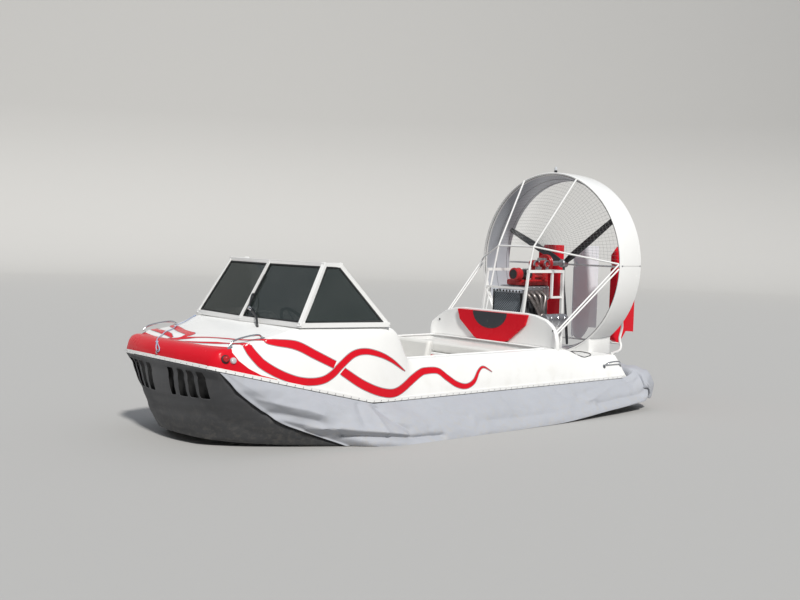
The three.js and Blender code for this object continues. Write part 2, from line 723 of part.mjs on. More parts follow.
// Guard tubes ahead of the duct
const GUARD_HALF = 222;
const GUARD_Y = 1240;
const GUARD_Z = 1456;
const GUARD_TUBE = 9;
const LIP_RADIUS = 857;
const LIP_AHEAD = GUARD_TUBE + 0.4;

function ringPoint(degrees) {
  const angle = THREE.MathUtils.degToRad(degrees);
  const rise = LIP_RADIUS * Math.sin(angle);
  return vec(LIP_RADIUS * Math.cos(angle), DUCT_FRONT - LIP_AHEAD, DUCT_HEIGHT + rise);
}

const GUARD_RING_ENDS = [67.5, 1.5];
const GUARD_FOOT = vec(GUARD_HALF, 1030, 510);

function guardFrame() {
  const knee = vec(GUARD_HALF, GUARD_Y, GUARD_Z);
  const ends = [...GUARD_RING_ENDS.map((degrees) => ringPoint(degrees)), GUARD_FOOT];
  const tubes = ends.map((end) => rod(knee, end, GUARD_TUBE, 8));
  const joint = solid(new THREE.SphereGeometry(GUARD_TUBE + 2, 10, 6).translate(...knee));
  const port = join([...tubes, joint]);
  const level = rod(far(knee), knee, GUARD_TUBE, 8);
  return onDeck(join([port, mirrored(port), level, braces(), mirrored(braces())]));
}

// Two parallel struts from the duct's lip down to the back of the seat shell
const BRACE = { top: [856, DUCT_FRONT - LIP_AHEAD, DUCT_HEIGHT + 18], foot: [728, 1006.5, 724] };
const BRACE_DROPS = [{ top: 0, foot: 0 }, { top: 42, foot: 30 }];
const BRACE_RADIUS = 8;
const LUG_RADIUS = 7;

function braces() {
  const ends = BRACE_DROPS.map((drop) => ({
    top: vec(...BRACE.top).setZ(BRACE.top[2] - drop.top),
    foot: vec(...BRACE.foot).setZ(BRACE.foot[2] - drop.foot),
  }));
  const struts = ends.map(({ top, foot }) => rod(foot, top, BRACE_RADIUS, 8));
  const lugs = ['top', 'foot'].map((end) => rod(ends[0][end], ends[1][end], LUG_RADIUS, 8));
  return join([...struts, ...lugs]);
}

// Duct: a deep ring on a moulded foot. Its section: radius and distance aft of its front
const DUCT_SECTION = [
  [838, 30],
  [848, 8],
  [855, 0],
  [861, 0],
  [DUCT_OUTER, 12],
  [DUCT_OUTER, 160],
  [854, DUCT_DEPTH],
  [801, DUCT_DEPTH],
  [797, 295],
  [797, 235],
  [804, 150],
  [820, 80],
  [838, 30],
];
const DUCT_FOOT = { front: 6, aft: 316, foot: 470, top: 662, room: 848 };

function duct() {
  const points = DUCT_SECTION.map(([radius, aft]) => new THREE.Vector2(radius, aft));
  const ring = solid(new THREE.LatheGeometry(points, 64));
  const { front, aft, foot, top, room } = DUCT_FOOT;
  const block = box([-DUCT_BASE_HALF, front, foot - DUCT_HEIGHT], [DUCT_BASE_HALF, aft, top - DUCT_HEIGHT]);
  const bore = rod(vec(0, -10, 0), vec(0, DUCT_DEPTH + 10, 0), room, 64);
  const whole = ring.add(block.subtract(bore)).translate([0, DUCT_FRONT, DUCT_HEIGHT]);
  return onDeck(whole).translate([0, -DUCT_FRONT, -DUCT_HEIGHT]);
}

// Propeller blade. Out along it: radius, chord, thickness, twist in degrees
const BLADE_TABLE = [
  [40, 52, 26, 55],
  [160, 68, 18, 46],
  [420, 64, 12, 30],
  [660, 54, 8, 20],
  [PROP_RADIUS, 34, 5, 15],
];
// Its wing section, as shares of the chord and of the thickness
const WING = [[-0.5, 0], [-0.3, 0.42], [0.05, 0.5], [0.5, 0.08], [0.5, -0.08], [0, -0.4], [-0.32, -0.34]];

function blade() {
  const rings = BLADE_TABLE.map(([radius, chord, thick, twist]) => {
    const angle = THREE.MathUtils.degToRad(twist);
    return WING.map(([alongChord, out]) => {
      const point = vec(0, out * thick, alongChord * chord);
      return point.applyAxisAngle(vec(1, 0, 0), angle).setX(radius);
    });
  });
  return loft(rings);
}

// Rudder: a thick straight foil with a stub pin at its foot and a pin in the notch at its nose
const FOIL = { nose: [6, -13], thickest: [36, 143], tail: [7, RUDDER_TAIL - RUDDER_HINGE] };
const FOIL_REACH = [500, 1500];
const FOIL_SIDE = [
  [-13, 1396],
  [97, 1476],
  [357, 1474],
  [357, 656],
  [214, 668],
  [98, 559],
  [22, 590],
  [-13, 594],
];
const NOTCH = { half: 60, front: -40, aft: 26, rise: 22 };
const PIN = { radius: 5, rise: 30 };
const STUB = { radius: 6, top: 610 };

function rudder() {
  const half = [FOIL.nose, FOIL.thickest, FOIL.tail];
  const outline = prism([...half, ...otherSide(half)], ...FOIL_REACH);
  const foil = outline.intersect(slabX(FOIL_SIDE, -NOTCH.half, NOTCH.half));
  const notchLow = [-NOTCH.half, NOTCH.front, UPPER_BEAM_Z - NOTCH.rise];
  const notchHigh = [NOTCH.half, NOTCH.aft, UPPER_BEAM_Z + NOTCH.rise];
  const pinFoot = vec(0, 0, UPPER_BEAM_Z - PIN.rise);
  const pin = rod(pinFoot, vec(0, 0, UPPER_BEAM_Z + PIN.rise), PIN.radius, 12);
  const stubFoot = vec(0, 0, LOWER_BEAM_Z + BEAM_RADIUS + GAP);
  const stub = rod(stubFoot, vec(0, 0, STUB.top), STUB.radius, 12);
  return foil.subtract(box(notchLow, notchHigh)).add(pin).add(stub);
}

const rudderStations = [-RUDDER_PITCH, 0, RUDDER_PITCH];

// Beams that carry the rudders: half length of the upper and the lower one
const UPPER_BEAM_HALF = 838;
const LOWER_BEAM_HALF = 590;
const HINGE_LUG = { half: 12, rise: 8, bore: 5.4 };
const STERN_TUBE = [
  [652, 2015, 800],
  [604, 2086, 716],
  [580, 2088, 612],
  [602, 2082, 546],
  [654, 1990, 510],
  [772, 1740, 508],
];
const STERN_TUBE_RADIUS = 12;
const acrossBeam = (half, y, z) => rod(vec(-half, y, z), vec(half, y, z), BEAM_RADIUS, 10);

function upperBeam() {
  const { half, rise, bore } = HINGE_LUG;
  const y = DUCT_FRONT + DUCT_DEPTH + BEAM_RADIUS + GAP;
  const lugs = rudderStations.map((x) => {
    const hole = rod(vec(x, RUDDER_HINGE, HIGH), vec(x, RUDDER_HINGE, 2 * HIGH), bore, 12);
    const low = [x - half, y, UPPER_BEAM_Z - rise];
    const lug = box(low, [x + half, RUDDER_HINGE + half, UPPER_BEAM_Z + rise]);
    return lug.subtract(hole);
  });
  return join([acrossBeam(UPPER_BEAM_HALF, y, UPPER_BEAM_Z), ...lugs]);
}

function rudderFrame() {
  const tube = bentTube(STERN_TUBE.map((point) => vec(...point)), STERN_TUBE_RADIUS, 16);
  const beam = acrossBeam(LOWER_BEAM_HALF, RUDDER_HINGE, LOWER_BEAM_Z);
  return onDeck(join([beam, tube, mirrored(tube)]));
}

// Grab rails: feet, and how far the arch stands off
const RAILS = [
  { where: 'bow', fore: [620, -2222, 740], aft: [604, -1945, 782], off: [4, 0, 52] },
  { where: 'stern', fore: [826, 1546, 402], aft: [826, 1776, 402], off: [42, 0, 26] },
];
const RAIL_RADIUS = 7;
const RAIL_BEND = { share: 0.15, rise: 0.8 };

function grabRail(fore, aft, off) {
  const middle = fore.clone().add(aft).multiplyScalar(0.5).add(off);
  const bend = (share) => fore.clone().lerp(aft, share).addScaledVector(off, RAIL_BEND.rise);
  const points = [fore, bend(RAIL_BEND.share), middle, bend(1 - RAIL_BEND.share), aft];
  return bentTube(points, RAIL_RADIUS, 12);
}

// Wiper: a bracket from the deck up to the spindle, and an arm that carries the blade
const paneUp = SHIELD.headCentre.clone().sub(SHIELD.sillCentre).normalize();
const paneAcross = SHIELD.sillFront.clone().sub(SHIELD.sillCentre).normalize();
const paneOut = paneAcross.clone().cross(paneUp).normalize();

function onPane(across, up, out) {
  const point = SHIELD.sillCentre.clone().addScaledVector(paneAcross, across);
  return point.addScaledVector(paneUp, up).addScaledVector(paneOut, out);
}

const SPINDLE = [100, 72];
const SPINDLE_OUT = 40;
const BOSS_RADIUS = 14;
const BRACKET = {
  foot: [330, -1800, 790],
  rise: [322, -1806, 850],
  bend: [220, 10, 40],
  end: 26,
  radius: 8,
};

function wiperBracket() {
  const { foot, rise, bend, end, radius } = BRACKET;
  const route = [vec(...foot), vec(...rise), onPane(...bend), onPane(...SPINDLE, end)];
  const boss = rod(onPane(...SPINDLE, 4), onPane(...SPINDLE, SPINDLE_OUT), BOSS_RADIUS, 14);
  return onDeck(join([bentTube(route, radius, 14), boss])).subtract(shieldRoom);
}

// The arm about its own spindle, so that it turns where it stands
const spindlePoint = onPane(...SPINDLE, SPINDLE_OUT + GAP);
const ARM_OUT = SPINDLE_OUT + 8;
const ARM_RADIUS = 6;
const ARM_BENDS = [[80, 110, ARM_OUT], [42, 185, ARM_OUT - 8], [34, 205, 16]];
const WIPER_BLADE = { foot: [34, 38, 14], tip: [34, 375, 14], radius: 5 };

function wiperArm() {
  const { foot, tip, radius } = WIPER_BLADE;
  const route = [onPane(...SPINDLE, ARM_OUT), ...ARM_BENDS.map((bend) => onPane(...bend))];
  const blade = rod(onPane(...tip), onPane(...foot), radius, 6);
  const boss = rod(spindlePoint, onPane(...SPINDLE, SPINDLE_OUT + 16), BOSS_RADIUS, 14);
  return join([bentTube(route, ARM_RADIUS, 12), blade, boss]).translate(...spindlePoint.clone().negate());
}

// Deck fittings
const NAV_LIGHT = { x: 664, y: -2266, z: 650, radius: 32, stretch: [0.75, 1.15, 1] };
const EYE_ROUTE = [[-2412, 632], [-2434, 634], [-2440, 645], [-2434, 656], [-2410, 661]];
const EYE_RADIUS = 5;
const STERN_LIGHT = { x: 20, y: 50, top: 925, radius: 15 };

function navLight(side) {
  const { x, y, z, radius, stretch } = NAV_LIGHT;
  const lens = new THREE.SphereGeometry(radius, 16, 10).scale(...stretch);
  return aroundDeck(solid(lens.translate(x * side, y, z)));
}

// Bow rope: tied to the bow eye, over the nose and along the deck to a knot by the windshield
const ROPE_RADIUS = 4;
const ROPE_STEPS = 52;
const HITCH_STEPS = 18;
const KNOT_SIZE = [14, 12, 10];
const HITCH_KNOT = [-86, -2389, 707];
const END_KNOT = [-674, -1743, 834];
const HITCH_LOOP = [
  [-82, -2393, 702],
  [-55, -2412, 676],
  [-26, -2423.5, 655],
  [0, -2429, 645],
  [17, -2428, 652],
  [16, -2424, 665],
  [-4, -2416, 677],
  [-50, -2402, 694],
  [-84, -2387, 708],
];
const ROPE_ROUTE = [
  [-104, -2380, 710],
  [-150, -2352, 722],
  [-200, -2310, 729],
  [-246, -2264, 739],
  [-270, -2224, 758],
  [-302, -2178, 763],
  [-353, -2123, 767],
  [-420, -2064, 774],
  [-478, -2018, 780],
  [-524, -1968, 788],
  [-552, -1915, 798],
  [-588, -1866, 808],
  [-628, -1808, 822],
  [-656, -1768, 831],
];

function knot(centre, extra = 0) {
  const sizes = KNOT_SIZE.map((size) => size + extra);
  return solid(new THREE.SphereGeometry(1, 12, 8).scale(...sizes).translate(...centre));
}

function ropeHitch() {
  const loop = bentTube(HITCH_LOOP.map((point) => vec(...point)), ROPE_RADIUS, HITCH_STEPS);
  return aroundDeck(loop.add(knot(HITCH_KNOT)));
}

function bowRope() {
  const route = [HITCH_KNOT, ...ROPE_ROUTE, END_KNOT].map((point) => vec(...point));
  const rope = bentTube(route, ROPE_RADIUS, ROPE_STEPS);
  return aroundDeck(rope.subtract(knot(HITCH_KNOT, GAP)).subtract(knot(END_KNOT, GAP)));
}

// Assembly
const hovercraft = new THREE.Group();
hovercraft.name = 'hovercraft';

function place(name, manifold, material, parent = hovercraft) {
  const mesh = new THREE.Mesh(geometryOf(manifold), material);
  mesh.name = name;
  parent.add(mesh);
  return mesh;
}

function at(x, y, z) {
  const group = new THREE.Group();
  group.position.set(x, y, z);
  hovercraft.add(group);
  return group;
}

place('deck_moulding', deck, WHITE());
const bandHalf = rimBand(sideRun).add(rimBand(bowRun)).add(rimBand(sternRun));
place('rim_band', aroundDeck(bandHalf.add(mirrored(rimBand(sideRun)))), WHITE_TUBE());
const PAN_ROOM = [1.0005, 1.0005, 1];
const pan = hullPan();
place('skirt_bow', bowSkirt().subtract(pan.scale(PAN_ROOM)), SKIRT_SHADE());
place('hull_pan', pan, WHITE());
for (const [where, x] of Object.entries(RUNNERS)) {
  place(`hull_runner_${where}`, runner(x, pan), WHITE());
}
place('skirt_port', portSkirt, SKIRT_LIGHT());
place('skirt_starboard', mirrored(portSkirt), SKIRT_LIGHT());
place('skirt_stern', sternSkirt(), SKIRT_LIGHT());
place('windshield_frame', shieldBars, WHITE_TUBE());
place('windshield_glass_port', frontPane, GLASS_TINT());
place('windshield_glass_starboard', mirrored(frontPane), GLASS_TINT());
place('side_glass_port', sidePane, GLASS_TINT());
place('side_glass_starboard', mirrored(sidePane), GLASS_TINT());

place('dash_panel', dashWithColumn(), WHITE());
const helm = at(...WHEEL);
place('steering_wheel', steeringWheel(), BLACK(), helm);
place('front_seat_base', seat(SEATS.frontBase), WHITE());
place('front_seat_cushion', seat(SEATS.frontCushion), WHITE());
place('front_seat_back', frontSeatBack(), WHITE());
place('rear_seat_base', seat(SEATS.rearBase), WHITE());
place('rear_seat_cushion', seat(SEATS.rearCushion), WHITE());
place('rear_seat_shell', onDeck(rearSeatShell()), WHITE());
place('rear_backrest_pad', backrestPad, RED());

place('engine_frame', engineFrame(), WHITE_TUBE());
place('engine_block', engineBlock, DARK_METAL());
place('engine_cover', engineCover, RED());
place('exhaust_headers', exhaustHeaders(), DARK_METAL());
place('muffler', mufflerCan(), DARK_METAL());
place('air_filter', airFilter, RED());
place('intake_pipe', intakePipe, BLACK());
place('radiator', radiator, DARK_METAL());
place('belt_guard', beltGuard, RED());
place('shaft_bearing', shaftBearing(), DARK_METAL());
place('intake_horns', intakeHorns(), RED());
place('guard_frame', guardFrame(), WHITE_TUBE());

place('wiper_bracket', wiperBracket(), BLACK());
place('wiper_arm', wiperArm(), BLACK(), at(...spindlePoint));
for (const { name, side } of SIDES) {
  for (const { where, fore, aft, off } of RAILS) {
    const [a, b, c] = [fore, aft, off].map(([x, y, z]) => vec(x * side, y, z));
    place(`grab_rail_${where}_${name}`, aroundDeck(onDeck(grabRail(a, b, c))), STEEL());
  }
  place(`nav_light_${name}`, navLight(side), side > 0 ? RED() : GREEN_LENS());
}
const eyeRoute = EYE_ROUTE.map(([y, z]) => vec(0, y, z));
place('bow_eye', aroundDeck(bentTube(eyeRoute, EYE_RADIUS, 12)), STEEL());
place('bow_rope_hitch', ropeHitch(), ROPE());
place('bow_rope', bowRope(), ROPE());
place('bow_rope_knot', aroundDeck(knot(END_KNOT)), ROPE());

const ductGroup = at(0, DUCT_FRONT, DUCT_HEIGHT);
place('duct', duct(), WHITE(), ductGroup);
const lightFoot = vec(STERN_LIGHT.x, STERN_LIGHT.y, DUCT_OUTER + GAP);
const lightTop = vec(STERN_LIGHT.x, STERN_LIGHT.y, STERN_LIGHT.top);
place('stern_light', rod(lightFoot, lightTop, STERN_LIGHT.radius, 12), CLEAR_LENS(), ductGroup);

const propeller = at(0, PROP_Y, DUCT_HEIGHT);
// On the propeller's axis, from its hub: where each turned part starts and ends, and its radius
const TURNED = [
  { from: BEARING.front - PROP_Y, to: 40, radius: 22.3, sides: 24 },
  { from: 1636 - PROP_Y, to: 1676 - PROP_Y, radius: 84, sides: 28 },
  { from: -34, to: 34, radius: 39.7, sides: 20 },
];
const turned = TURNED.map(({ from, to, radius, sides }) => {
  return rod(vec(0, from, 0), vec(0, to, 0), radius, sides);
});
place('prop_shaft', join(turned), DARK_METAL(), propeller);
BLADE_ANGLES.forEach((degrees, i) => {
  const mesh = place(`prop_blade_${i + 1}`, blade(), BLACK(), propeller);
  mesh.rotation.y = -THREE.MathUtils.degToRad(degrees);
});

place('rudder_beam_upper', upperBeam(), WHITE_TUBE());
place('rudder_frame', rudderFrame(), WHITE_TUBE());
['starboard', 'centre', 'port'].forEach((name, i) => {
  const group = at(rudderStations[i], RUDDER_HINGE, 0);
  place(`rudder_${name}`, rudder(), name === 'centre' ? WHITE() : RED(), group);
});

export default hovercraft;
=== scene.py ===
# %% [markdown]
# # A light hovercraft, dressed around its solids
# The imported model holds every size. This lesson loads it, and then replaces or paints one piece
# after another, so that the craft looks like the real one in the sun.

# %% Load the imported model
import json
import math

import bmesh
import bpy
import numpy as np
from mathutils import Matrix, Quaternion, Vector, noise
from mathutils.bvhtree import BVHTree

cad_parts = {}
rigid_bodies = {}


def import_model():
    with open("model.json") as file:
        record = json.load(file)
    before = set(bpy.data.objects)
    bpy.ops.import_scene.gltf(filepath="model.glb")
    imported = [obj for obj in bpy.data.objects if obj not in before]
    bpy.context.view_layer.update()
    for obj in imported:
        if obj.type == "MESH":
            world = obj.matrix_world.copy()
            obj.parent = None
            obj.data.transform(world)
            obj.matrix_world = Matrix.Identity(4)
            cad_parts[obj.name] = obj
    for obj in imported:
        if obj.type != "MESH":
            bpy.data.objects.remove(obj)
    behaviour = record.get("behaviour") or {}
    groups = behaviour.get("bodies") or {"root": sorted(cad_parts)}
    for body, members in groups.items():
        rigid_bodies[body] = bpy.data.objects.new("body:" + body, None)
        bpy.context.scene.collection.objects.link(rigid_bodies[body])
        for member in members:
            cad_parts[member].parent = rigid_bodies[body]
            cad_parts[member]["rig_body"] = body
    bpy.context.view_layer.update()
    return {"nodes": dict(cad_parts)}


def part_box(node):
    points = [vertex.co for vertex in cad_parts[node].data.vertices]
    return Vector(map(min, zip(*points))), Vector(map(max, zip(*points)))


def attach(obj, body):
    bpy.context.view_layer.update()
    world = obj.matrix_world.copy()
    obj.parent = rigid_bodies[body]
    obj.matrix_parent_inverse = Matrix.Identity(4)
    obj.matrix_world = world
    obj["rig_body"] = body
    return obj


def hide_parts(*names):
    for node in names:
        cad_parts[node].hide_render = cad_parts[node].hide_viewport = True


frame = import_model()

SIDES = (("port", 1), ("starboard", -1))
PORT, AFT, UP = (1, 0, 0), (0, 1, 0), (0, 0, 1)

# %% [markdown]
# ## Three small helpers
# Every piece is linked to the scene, shaded smooth up to a sharpest angle, and told which body it
# rides on and which CAD nodes it stands for.

# %% Helpers for every piece
def linked(name, data):
    """A new object in the scene."""
    made = bpy.data.objects.new(name, data)
    bpy.context.scene.collection.objects.link(made)
    return made


def smoothed(mesh, angle=None):
    """Smooth shading, broken where two faces meet at more than an angle in degrees."""
    mesh.polygons.foreach_set("use_smooth", [True] * len(mesh.polygons))
    if angle:
        mesh.set_sharp_from_angle(angle=math.radians(angle))


def fitted(piece, body, nodes=()):
    """Says which body a piece rides on and which CAD nodes it stands for."""
    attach(piece, body)
    if nodes:
        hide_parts(*nodes)
    return piece


# %% [markdown]
# ## Camera
# The photograph was taken by someone standing off the port bow. The spot, the three angles and the
# lens come from lines and circles of the craft, solved once for an 800 by 600 picture.

# %% Camera at the photograph's viewing angle
CAMERA_SPOT = Vector((6.912, -6.132, 1.507))
YAW, PITCH, ROLL = (math.radians(d) for d in (49.193, 3.319, 1.637))
LENS = 48.603


def aimed(yaw, pitch, roll):
    """The camera's turn, from its yaw off the craft's length, its pitch down and its roll."""
    ahead = Vector((-math.sin(yaw) * math.cos(pitch), math.cos(yaw) * math.cos(pitch), -math.sin(pitch)))
    level = Vector((math.cos(yaw), math.sin(yaw), 0))
    over = level.cross(ahead)
    right = level * math.cos(roll) + over * math.sin(roll)
    up = over * math.cos(roll) - level * math.sin(roll)
    return np.array([right, up, -ahead]).T


camera = linked("camera", bpy.data.cameras.new("camera"))
camera.data.sensor_width = 36
camera.data.lens = LENS
turn = np.eye(4)
turn[:3, :3] = aimed(YAW, PITCH, ROLL)
turn[:3, 3] = CAMERA_SPOT
camera.matrix_world = Matrix(turn)
bpy.context.scene.camera = camera
bpy.context.scene.view_settings.view_transform = "Standard"
print("camera looks from", tuple(CAMERA_SPOT))

# %% [markdown]
# ## The bow rope
# One length of braided rope is hitched through the bow eye, runs back over the nose and lies along the
# foot of the windshield on the far side. Its route repeats the solid's, point for point, in metres.

# %% Rope, hitch and knots
ROPE_RADIUS = 0.004
KNOT_TURNS, KNOT_POINTS, KNOT_SIZE = 3, 90, (0.0125, 0.0105, 0.0085)
HITCH_KNOT, END_KNOT = (-0.086, -2.389, 0.707), (-0.674, -1.743, 0.834)
# Route over the nose, from the hitch to the knot: x, y, z
ROPE_ROUTE = [
    (-0.104, -2.380, 0.710), (-0.150, -2.352, 0.722), (-0.200, -2.310, 0.729), (-0.246, -2.264, 0.739),
    (-0.270, -2.224, 0.758), (-0.302, -2.178, 0.763), (-0.353, -2.123, 0.767), (-0.420, -2.064, 0.774),
    (-0.478, -2.018, 0.780), (-0.524, -1.968, 0.788), (-0.552, -1.915, 0.798), (-0.588, -1.866, 0.808),
    (-0.628, -1.808, 0.822), (-0.656, -1.768, 0.831),
]
# Loop through the bow eye and back to the hitch: x, y, z
HITCH_LOOP = [
    (-0.082, -2.393, 0.702), (-0.055, -2.412, 0.676), (-0.026, -2.4235, 0.655), (0.000, -2.429, 0.645),
    (0.017, -2.428, 0.652), (0.016, -2.424, 0.665), (-0.004, -2.416, 0.677), (-0.050, -2.402, 0.694),
    (-0.084, -2.387, 0.708),
]


def rope_curve(name, kind):
    """An empty round curve with one spline. Its radius is set on the points, because Blender counts a
    point's radius into the curve's box."""
    curve = bpy.data.curves.new(name, "CURVE")
    curve.dimensions, curve.bevel_depth, curve.bevel_resolution = "3D", 1.0, 3
    return curve, curve.splines.new(kind)


def rope_line(name, points, *nodes):
    """A round rope along a few points."""
    curve, spline = rope_curve(name, "BEZIER")
    curve.resolution_u = 6
    spline.bezier_points.add(len(points) - 1)
    for spot, place in zip(spline.bezier_points, points):
        spot.co, spot.handle_left_type, spot.handle_right_type = place, "AUTO", "AUTO"
        spot.radius = ROPE_RADIUS
    return fitted(linked(name, curve), "craft", nodes)


def rope_knot(name, spot, *nodes):
    """A tight knot: one strand wound over itself on a small egg."""
    curve, spline = rope_curve(name, "POLY")
    spline.points.add(KNOT_POINTS - 1)
    for k, point in enumerate(spline.points):
        share = k / (KNOT_POINTS - 1)
        around = 2 * math.pi * KNOT_TURNS * share
        tilt = math.pi * (0.12 + 0.76 * share)
        x = KNOT_SIZE[0] * math.cos(tilt) * 0.75
        y = KNOT_SIZE[1] * math.sin(tilt) * math.cos(around) * 0.75
        z = KNOT_SIZE[2] * math.sin(tilt) * math.sin(around) * 0.70
        point.co = (spot[0] + x, spot[1] + y, spot[2] + z, 1)
        point.radius = ROPE_RADIUS * 0.8
    return fitted(linked(name, curve), "craft", nodes)


run = [HITCH_KNOT, *ROPE_ROUTE, END_KNOT]
rope = rope_line("bow_rope_braid", run, "bow_rope")
hitch = rope_line("bow_rope_loop", HITCH_LOOP, "bow_rope_hitch")
hitch_knot = rope_knot("bow_rope_hitch_knot", HITCH_KNOT)
end_knot = rope_knot("bow_rope_end_knot", END_KNOT, "bow_rope_knot")

# %% [markdown]
# ## Numbers that vary over a surface
# Shader maths reads better as Python. A Field wraps one socket, and each operator adds a Math node,
# so that 1 - mask or a * noise + b writes itself into the material.

# %% Field and Look, the two small helpers behind every material
class Field:
    """One varying number of a material, with operators that add Math nodes."""

    def __init__(self, look, socket):
        self.look, self.socket = look, socket

    def joined(self, operation, first, second=0.0):
        node = self.look.node("ShaderNodeMath", {"operation": operation}, {0: first, 1: second})
        return Field(self.look, node.outputs[0])

    def __add__(self, other):
        return self.joined("ADD", self, other)

    __radd__ = __add__

    def __sub__(self, other):
        return self.joined("SUBTRACT", self, other)

    def __rsub__(self, other):
        return self.joined("SUBTRACT", other, self)

    def __mul__(self, other):
        return self.joined("MULTIPLY", self, other)

    __rmul__ = __mul__

    def least(self, other):
        return self.joined("MINIMUM", self, other)

    def most(self, other):
        return self.joined("MAXIMUM", self, other)

    def wave(self):
        return self.joined("SINE", self)

    def step(self, low, high):
        """0 below low, 1 above high, and smooth between."""
        inputs = {"Value": self, "From Min": low, "From Max": high}
        node = self.look.node("ShaderNodeMapRange", {"interpolation_type": "SMOOTHSTEP"}, inputs)
        return Field(self.look, node.outputs["Result"])


class Look:
    """A material built on one Principled shader. Constants go on the shader's own sockets."""

    def __init__(self, name, colour, roughness=0.5, **constants):
        self.material = bpy.data.materials.new(name)
        self.material.use_nodes = True
        self.tree = self.material.node_tree
        self.shader = self.tree.nodes["Principled BSDF"]
        self.shader.inputs["Base Color"].default_value = (*colour, 1)
        self.shader.inputs["Roughness"].default_value = roughness
        for words, value in constants.items():
            self.shader.inputs[words.replace("_", " ").title().replace("Ior", "IOR")].default_value = value
        self.place = self.node("ShaderNodeTexCoord").outputs["Object"]

    def node(self, kind, settings=None, inputs=None):
        made = self.tree.nodes.new(kind)
        for key, value in (settings or {}).items():
            if key == "stops":
                self.set_stops(made.color_ramp.elements, value)
            else:
                setattr(made, key, value)
        for key, value in (inputs or {}).items():
            self.feed(made.inputs[key], value)
        return made

    @staticmethod
    def set_stops(elements, stops):
        while len(elements) < len(stops):
            elements.new(1.0)
        for element, (spot, value) in zip(elements, stops):
            element.position, element.color = spot, (value, value, value, 1)

    def feed(self, socket, value):
        if isinstance(value, Field):
            value = value.socket
        if isinstance(value, bpy.types.NodeSocket):
            self.tree.links.new(value, socket)
        elif isinstance(value, tuple) and len(value) == 3 and socket.type == "RGBA":
            socket.default_value = (*value, 1)
        else:
            socket.default_value = value

    def axes(self):
        parts = self.node("ShaderNodeSeparateXYZ", inputs={0: self.place})
        return [Field(self, parts.outputs[i]) for i in range(3)]

    def noise(self, scale, detail=3.0, stretch=(1, 1, 1), rough=0.5):
        spot = self.node("ShaderNodeVectorMath", {"operation": "MULTIPLY"}, {0: self.place, 1: stretch})
        inputs = {"Vector": spot.outputs[0], "Scale": scale, "Detail": detail, "Roughness": rough}
        return Field(self, self.node("ShaderNodeTexNoise", inputs=inputs).outputs["Fac"])

    def mixed(self, share, low, high):
        """A colour between two, by a share from 0 to 1."""
        node = self.node("ShaderNodeMix", {"data_type": "RGBA"}, {0: share, 6: low, 7: high})
        return node.outputs[2]

    def paint(self, colour):
        self.feed(self.shader.inputs["Base Color"], colour)
        return self

    def rough(self, field):
        self.feed(self.shader.inputs["Roughness"], field)
        return self

    def bumped(self, height, distance, strength=1.0):
        node = self.node("ShaderNodeBump", inputs={"Strength": strength, "Distance": distance, "Height": height})
        self.feed(self.shader.inputs["Normal"], node.outputs[0])
        return self


# %% [markdown]
# ## Studio
# The real craft stands in the sun with its bow in shade. A pale bowl of floor and wall with one
# lamp off the port side gives the same bright side, with the overhanging bow in its own shade.

# %% Pale floor and soft light
FLOOR_COLOUR = (0.46, 0.455, 0.445)
BOWL_RADIUS, BOWL_BEND, BOWL_RISE, BOWL_STEPS = 34.0, 6, 16.0, 96


def studio_bowl():
    """A flat floor that bends up into a wall all round, as fans and quads between rings."""
    flat = BOWL_RADIUS * 0.8
    profile = [(BOWL_RADIUS * 0.6, 0.0), (flat, 0.0)]
    profile += [(flat + BOWL_BEND * math.sin(a), BOWL_BEND * (1 - math.cos(a)))
                for a in (math.radians(d) for d in range(10, 91, 10))]
    profile.append((profile[-1][0], BOWL_RISE))
    points = [(0, 0, 0)]
    for distance, height in profile:
        for k in range(BOWL_STEPS):
            angle = 2 * math.pi * k / BOWL_STEPS
            points.append((distance * math.cos(angle), distance * math.sin(angle), height))
    turns = [(k, (k + 1) % BOWL_STEPS) for k in range(BOWL_STEPS)]
    faces = [(0, 1 + k, 1 + after) for k, after in turns]
    for start in range(1, len(points) - BOWL_STEPS, BOWL_STEPS):
        outer = start + BOWL_STEPS
        faces += [(start + k, outer + k, outer + after, start + after) for k, after in turns]
    mesh = bpy.data.meshes.new("studio_floor")
    mesh.from_pydata(points, [], faces)
    smoothed(mesh)
    return linked("studio_floor", mesh)


floor = studio_bowl()
floor_look = Look("studio_floor", FLOOR_COLOUR, 0.9, specular_ior_level=0.1)
floor.data.materials.append(floor_look.material)

SUN_FROM, SUN_AWAY, SUN_POWER, SUN_WIDTH = Vector((0.67, -0.29, 0.69)), 9, 3.4, math.radians(6)
SKY_COLOUR, SKY_POWER = (0.80, 0.86, 0.95, 1), 0.50
light = bpy.data.lights.new("key_lamp", "SUN")
light.energy, light.color, light.angle = SUN_POWER, (1.0, 0.98, 0.94), SUN_WIDTH
sun = linked("key_lamp", light)
sun.rotation_mode, sun.rotation_quaternion = "QUATERNION", SUN_FROM.to_track_quat("Z", "Y")
sun.location = SUN_FROM.normalized() * SUN_AWAY
world = bpy.data.worlds.new("soft_sky")
bpy.context.scene.world = world
world.use_nodes = True
sky = world.node_tree.nodes["Background"].inputs
sky["Color"].default_value, sky["Strength"].default_value = SKY_COLOUR, SKY_POWER

# %% [markdown]
# ## Finishes
# Each finish starts from the real material: sprayed gelcoat with a faint orange peel, powder coat on
# the tubes, coated fabric with a weave and dust, glass darkened with a painted reflection of dark
# surroundings, moulded rubber and dull castings. The bow skirt's fabric, the sheet behind its slots
# and the duct's bore are painted darker as shade.

# %% Gelcoat, powder coat and vinyl
WHITE, RED, RED_STAIN = (0.84, 0.84, 0.83), (0.64, 0.010, 0.022), (0.36, 0.010, 0.014)


def darker(colour, share):
    return tuple(c * share for c in colour)


